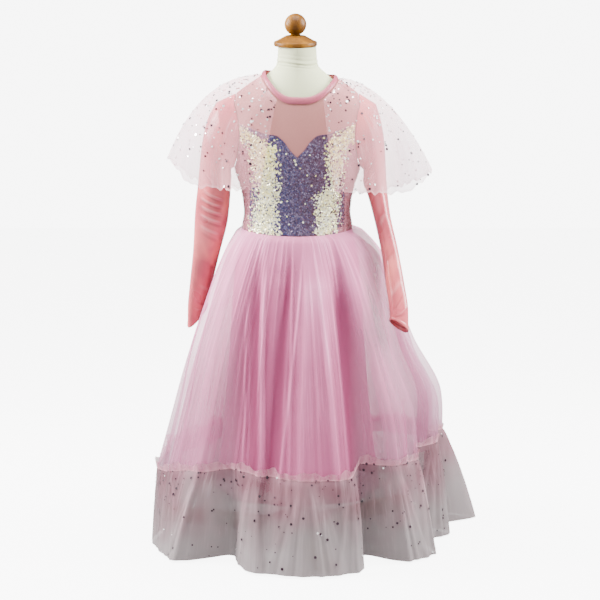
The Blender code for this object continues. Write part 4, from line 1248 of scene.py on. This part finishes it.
def sleeve_surface(side, sizes, creases):
    """Grid of a sleeve: smooth rings between the armhole and the cuff, with soft creases.

    Ring values are read smoothly down the table.  Each crease is a soft trough or ridge, a bell
    curve along the arm that slants round it and fades away from the side it faces.
    """
    columns, rows = GRIDS["sleeve"]
    beta = np.arange(columns) * 2 * math.pi / columns
    steps = np.arange(len(sizes["half_t"]), dtype=float)
    at = np.linspace(0, steps[-1], rows)
    outer, inner = (smooth_points(steps, sizes, edge, at) for edge in ("out_", "in_"))
    centre = (outer + inner) / 2
    across = (outer - inner) / 2
    thick = unit(np.cross(across, np.gradient(centre, axis=0))) * smooth(steps, sizes["half_t"], at)[:, None]
    c = np.cos(beta)[None, :, None]
    s = (np.sign(np.sin(beta)) * np.abs(np.sin(beta)) ** SLEEVE_FLATNESS)[None, :, None]
    rings = centre[:, None] + across[:, None] * c + thick[:, None] * s
    hole = armhole_ring(side, beta)
    lead = np.linspace(0, 1, LEAD_RINGS)[:-1, None, None]
    rings = np.concatenate([hole[None] + (rings[:1] - hole[None]) * lead, rings])
    middle = rings.mean(axis=1, keepdims=True)
    length = np.linspace(0, 1, len(rings))[:, None]
    soft = np.sin(math.pi * length.clip(0, 1)) ** 0.6
    relief = sum(CREASE_DEPTH * deep * np.exp(-((length - at - slant * np.sin(beta - face)) / wide) ** 2)
                 * np.exp(-((1 - np.cos(beta - face)) / 0.22) ** 2)
                 for at, wide, deep, slant, face in creases) * soft
    long_fold = 0.035 * np.cos(3 * beta + 2.0 * length) + 0.018 * np.cos(5 * beta - 3.0 * length)
    points = middle + (rings - middle) * (1 + (relief + long_fold * soft)[..., None])
    # A line of painted shade at the turned hem's stitched dent, given to the shader with the relief
    hem = np.exp(-((length - 0.975) / 0.006) ** 2) + held(length * 80 - 79)
    return points, relief - 0.1 * hem


def make_sleeve(name, side, sizes, creases, material):
    """Long slim sleeve with a pointed cuff and its turned hem, a flat strip; its stitched dent is only a line of
    painted shade.
    """
    points, relief = sleeve_surface(side, sizes, creases)
    obj = cloth(name + "_cloth", points, True, material, [name], JERSEY_WALL, relief)
    rings = points[CUFF_RINGS]
    out = unit(rings - points.mean(axis=1, keepdims=True)[CUFF_RINGS])
    hem = rings + out * np.array(CUFF_LIFTS)[:, None, None]
    return obj, cloth(name + "_cuff_band", hem, True, material, ())


def make_foil(name, points, closed, dots, dark_reflection_share, material, top_bias=1.0):
    """Foil dots scattered over a grid surface, each lying on it with a slight tilt."""
    count, radii, lift = dots
    normals = surface_normals(points, closed)
    if closed:
        points, normals = (np.concatenate([grid, grid[:, :1]], axis=1) for grid in (points, normals))
    row = rng.random(count) ** top_bias * (points.shape[0] - 1.001)
    col = rng.random(count) * (points.shape[1] - 1.001)
    normal = unit(grid_at(normals, row, col))
    at = grid_at(points, row, col) + normal * lift
    shade = rng.random(count)
    # Each dot is painted either with a dark reflection or with a pale glint
    dark = shade < dark_reflection_share(at)
    tone = np.where(dark[:, None], FOIL_DARK_REFLECTION, FOIL_GLINT)
    tone = held(tone * (0.8 + 0.4 * rng.random((count, 1))))
    normal = unit(normal + rng.normal(0, 0.12, (count, 3)))
    radius = radii[0] + (radii[1] - radii[0]) * rng.random(count) ** 2
    mesh = disc_mesh(name, at, normal, radius, shade * 6, tone, np.where(dark, 0.2, 0.7))
    return add_piece(name, mesh, material, ())


# Form and stand


def make_form(material):
    """Padded torso and neck with the faint creases of its jersey cover round the neck, each a bell curve."""
    z = np.concatenate([np.linspace(0.892, 0.83, 50), np.linspace(0.8285, 0.42, 90)])[:, None]
    theta = np.arange(128)[None, :] * 360 / 128
    rise = held((z - SHOULDER_FROM_Z) / (SHOULDER_TO_Z - SHOULDER_FROM_Z))
    inset = -SHOULDER_INSET * np.abs(sind(theta)) * rise
    level = z + 0.0022 * sind(theta + 20) + 0.001 * sind(3 * theta)
    crease = sum(depth * np.exp(-((level - at) / width) ** 2) for at, width, depth in NECK_CREASES)
    points = form_point(theta, z, inset - crease)
    cloth("form_jersey_cover", points, True, material, ["form_torso"])
    underside = bpy.data.meshes.new("form_underside")
    underside.from_pydata(points[-1].tolist(), [], [list(range(points.shape[1]))[::-1]])
    add_piece("form_underside", underside, material, ())


def lathe(name, profile, material, nodes):
    """Turned piece: the profile carried once round the top's axis, its poles closed."""
    radius, z = np.array(profile, dtype=float).T[..., None]
    turn = np.arange(TURNED_COLUMNS)[None, :] * 360 / TURNED_COLUMNS
    points = ring(turn + 0 * radius, radius + 0 * turn, z)
    points[..., 0] += TOP_X
    cloth(name, points, True, material, nodes)


def rounded(profile, radius, steps):
    """A profile with each inner corner cut by a short arc of that radius."""
    out = [profile[0]]
    for before, corner, after in zip(*(np.array(profile)[k:len(profile) - 2 + k] for k in range(3))):
        one, two = before - corner, after - corner
        cut = min(radius, 0.45 * np.linalg.norm(one), 0.45 * np.linalg.norm(two))
        start, end = corner + unit(one) * cut, corner + unit(two) * cut
        for t in np.linspace(0, 1, steps):
            out.append(tuple((1 - t) ** 2 * start + 2 * t * (1 - t) * corner + t * t * end))
    out.append(profile[-1])
    return out


def make_top(material):
    """Neck cap with its rounded rim and the ball on its short stem."""
    lathe("neck_cap_turned", rounded(CAP_PROFILE, RIM_RADIUS, RIM_STEPS), material, ["neck_cap"])
    angles = np.linspace(0, math.pi - math.asin(STEM_RADIUS / BALL_RADIUS), 40)
    ball = [(BALL_RADIUS * math.sin(a), BALL_CENTRE_Z + BALL_RADIUS * math.cos(a)) for a in angles]
    lathe("neck_ball_turned", ball + STEM_FOOT, material, ["neck_knob"])


def make_stage():
    """Plain pale floor, lit evenly like the backdrop where the camera sees it straight; seen through the net its glow
    fades towards the dress, a painted shadow.
    """
    mesh = bpy.data.meshes.new("floor")
    corners = [(-3.4, -3.4, -0.0004), (3.4, -3.4, -0.0004), (3.4, 3.3, -0.0004), (-3.4, 3.3, -0.0004)]
    mesh.from_pydata(corners, [], [(0, 1, 2, 3)])
    obj = bpy.data.objects.new("floor", mesh)
    bpy.context.scene.collection.objects.link(obj)
    paint = Paint("floor_paper")
    reach = paint.node("ShaderNodeVectorMath", {"operation": "LENGTH"}, {0: paint.place()}, "Value")
    paint.set(Base_Color=(0.4, 0.4, 0.4, 1), Roughness=1.0, Specular_IOR_Level=0.0)
    paint.set(Emission_Color=paint.seen(paint.spread(reach, *GLOW_FROM_TO, 0.0, THROUGH_NET)) * 1.0)
    paint.set(Emission_Strength=FLOOR_GLOW)
    mesh.materials.append(paint.material)


def make_world():
    """Even studio light, with a bright backdrop where the camera sees past the dress."""
    world = bpy.data.worlds.new("studio")
    bpy.context.scene.world = world
    paint = Paint("studio", world)
    paint.set(Color=(1, 1, 1, 1), Strength=AMBIENT + (BACKDROP - AMBIENT) * paint.seen(THROUGH_NET))


def add_object(name, data, at):
    """A light or the camera, put in the scene."""
    obj = bpy.data.objects.new(name, data)
    obj.location = at
    bpy.context.scene.collection.objects.link(obj)
    return obj


def make_lights():
    """Two tall softboxes at the sides, one above, and a large weak panel in front, all aimed at the dress."""
    for name, azimuth, distance, height, width, tall, power in LIGHTS:
        light = bpy.data.lights.new(name, "AREA")
        light.shape = "RECTANGLE"
        light.size = width
        light.size_y = tall
        light.energy = power
        rad = math.radians(azimuth)
        obj = add_object(name, light, (distance * math.sin(rad), -distance * math.cos(rad), height))
        obj.rotation_mode = "QUATERNION"
        obj.rotation_quaternion = (Vector(AIM) - obj.location).to_track_quat("-Z", "Y")


def make_camera():
    """Camera a little above the shoulders, looking down at the dress."""
    data = bpy.data.cameras.new("camera")
    data.sensor_width = SENSOR_WIDTH
    data.lens = CAMERA_FOCAL_PIXELS * SENSOR_WIDTH / IMAGE_WIDTH
    obj = add_object("camera", data, CAMERA_AT)
    obj.rotation_euler = (math.radians(90 - CAMERA_PITCH), 0, 0)
    bpy.context.scene.camera = obj


def main():
    """Makes the scene piece by piece."""
    make_stage()
    make_world()
    make_lights()
    make_camera()
    golden = wood("golden_wood_varnished", (0.06, 0.019, 0.001), (0.15, 0.056, 0.002), (0.27, 0.11, 0.006), 0.08)
    pale_wood = wood("pale_wood_matte", (0.14, 0.11, 0.07), (0.19, 0.16, 0.105), (0.24, 0.2, 0.14), 0.0)
    # The overlay's wings are its flank colour of painted shade
    overlay_net = tulle("overlay_net", (0.88, 0.29, 0.52), (0.44, 0.085, 0.2), (0.99, 0.54, 0.78), 0.16, 0.86, 60,
                        wings=(0.13, 0.225, (0.48, 0.21, 0.32)))
    under_net = tulle("under_net", (0.56, 0.17, 0.32), (0.32, 0.06, 0.145), (0.8, 0.36, 0.56), 0.36, 0.78, 44)
    ruffle_net = tulle("ruffle_net", (0.32, 0.16, 0.19), (0.12, 0.055, 0.068), (0.52, 0.36, 0.4), 0.7, 0.96, 90,
                       0.75, (0.255, 0.215, 0.218))
    # The cape's wings are its flank colour of painted shade
    cape_cloth = tulle("cape_cloth", (0.95, 0.52, 0.55), (0.88, 0.38, 0.42), (1.0, 0.86, 0.88), 0.1, 0.66, 26,
                       wings=(0.125, 0.19, (0.72, 0.5, 0.56)))
    header_net = tulle("header_net", (0.66, 0.34, 0.4), (0.5, 0.22, 0.28), (0.84, 0.58, 0.62), 0.4, 0.86, 120)
    # deep is the painted shade of the sleeves' crease troughs, crest the painted highlight of their ridges
    jersey = shiny_jersey("pink_jersey_sheen", (0.42, 0.058, 0.082), (0.6, 0.1, 0.13), (0.74, 0.15, 0.142),
                          (0.2, 0.016, 0.026), (0.8, 0.34, 0.36), 0.3)
    ivory = fabric("ivory_jersey", 9.0, (0.5, 0.53, 0.33), (0.59, 0.6, 0.4), 0.9, 0.15,
                   (700.0, 2.0, 0.5, (1.0, 1.0, 0.5)), (0.0004, 0.35))
    backing = fabric("sequin_backing", 600.0, (0.05, 0.03, 0.06), (0.16, 0.08, 0.13), 0.7, 0.2, (600.0, 2.0),
                     (0.0005, 0.6), (0.066, 0.082, (0.5, 0.2, 0.24)))
    mesh = fabric("dusty_mesh", 12.0, (0.41, 0.145, 0.145), (0.5, 0.195, 0.185), 0.8, 0.15, (1400.0, 1.0),
                  (0.0003, 0.3), holes=(0.72, 0.88))
    binding = fabric("binding_satin", 20.0, (0.3, 0.055, 0.09), (0.4, 0.09, 0.14), 0.4, *SATIN)
    # Painted light: the lining goes over to a paler lilac towards its sides
    lining = fabric("lining_pink", 20.0, (0.26, 0.025, 0.085), (0.32, 0.04, 0.115), 0.7, *SATIN,
                    (0.09, 0.122, (0.6, 0.36, 0.46)))
    tape_satin = fabric("seam_tape_pink", 20.0, (0.44, 0.16, 0.2), (0.54, 0.24, 0.28), 0.7, *SATIN)
    foil = flake("foil_dot", 0.25)

    make_form(ivory)
    make_top(golden)
    frame["nodes"]["stand_pole"].material_slots[0].material = golden
    for name in ("stand_hub", "stand_bar_1", "stand_bar_2", "stand_bar_3"):
        frame["nodes"][name].material_slots[0].material = pale_wood

    front = make_bodice_front(backing)
    sequins = make_sequins(flake("sequin_film", 0.26))
    piping = make_piping(backing)
    yoke = make_yoke(mesh)
    backs = [make_back(f"bodice_back_{way}_cloth", f"bodice_back_{way}", side, jersey)
             for way, side in (("right", 1), ("left", -1))]
    placket = make_placket(jersey)
    neck = make_binding(binding)
    cape_points = make_cape(cape_cloth)
    sleeves = [make_sleeve("sleeve_left", -1, SLEEVE_LEFT, LEFT_CREASES, jersey),
               make_sleeve("sleeve_right", 1, SLEEVE_RIGHT, RIGHT_CREASES, jersey)]
    overlay = make_overlay(overlay_net)
    under = make_underlayer(under_net)
    slip = make_lining(lining)
    ruffle = make_ruffle(ruffle_net)
    header = make_header(header_net)
    tape = make_seam_tape(tape_satin)
    # Shares of foil dots painted with a dark reflection: most of the ruffle's, and more on the cape's wings than on
    # its front
    ruffle_dots = make_foil("ruffle_foil", ruffle_surface(*around("ruffle_foil")), True, RUFFLE_DOTS,
                            lambda at: np.full(len(at), 0.9), foil, 2.0)
    cape_dots = make_foil("cape_foil", cape_points, False, CAPE_DOTS,
                          lambda at: np.where(np.abs(at[:, 0]) > 0.15, 0.8, 0.42), foil)


main()
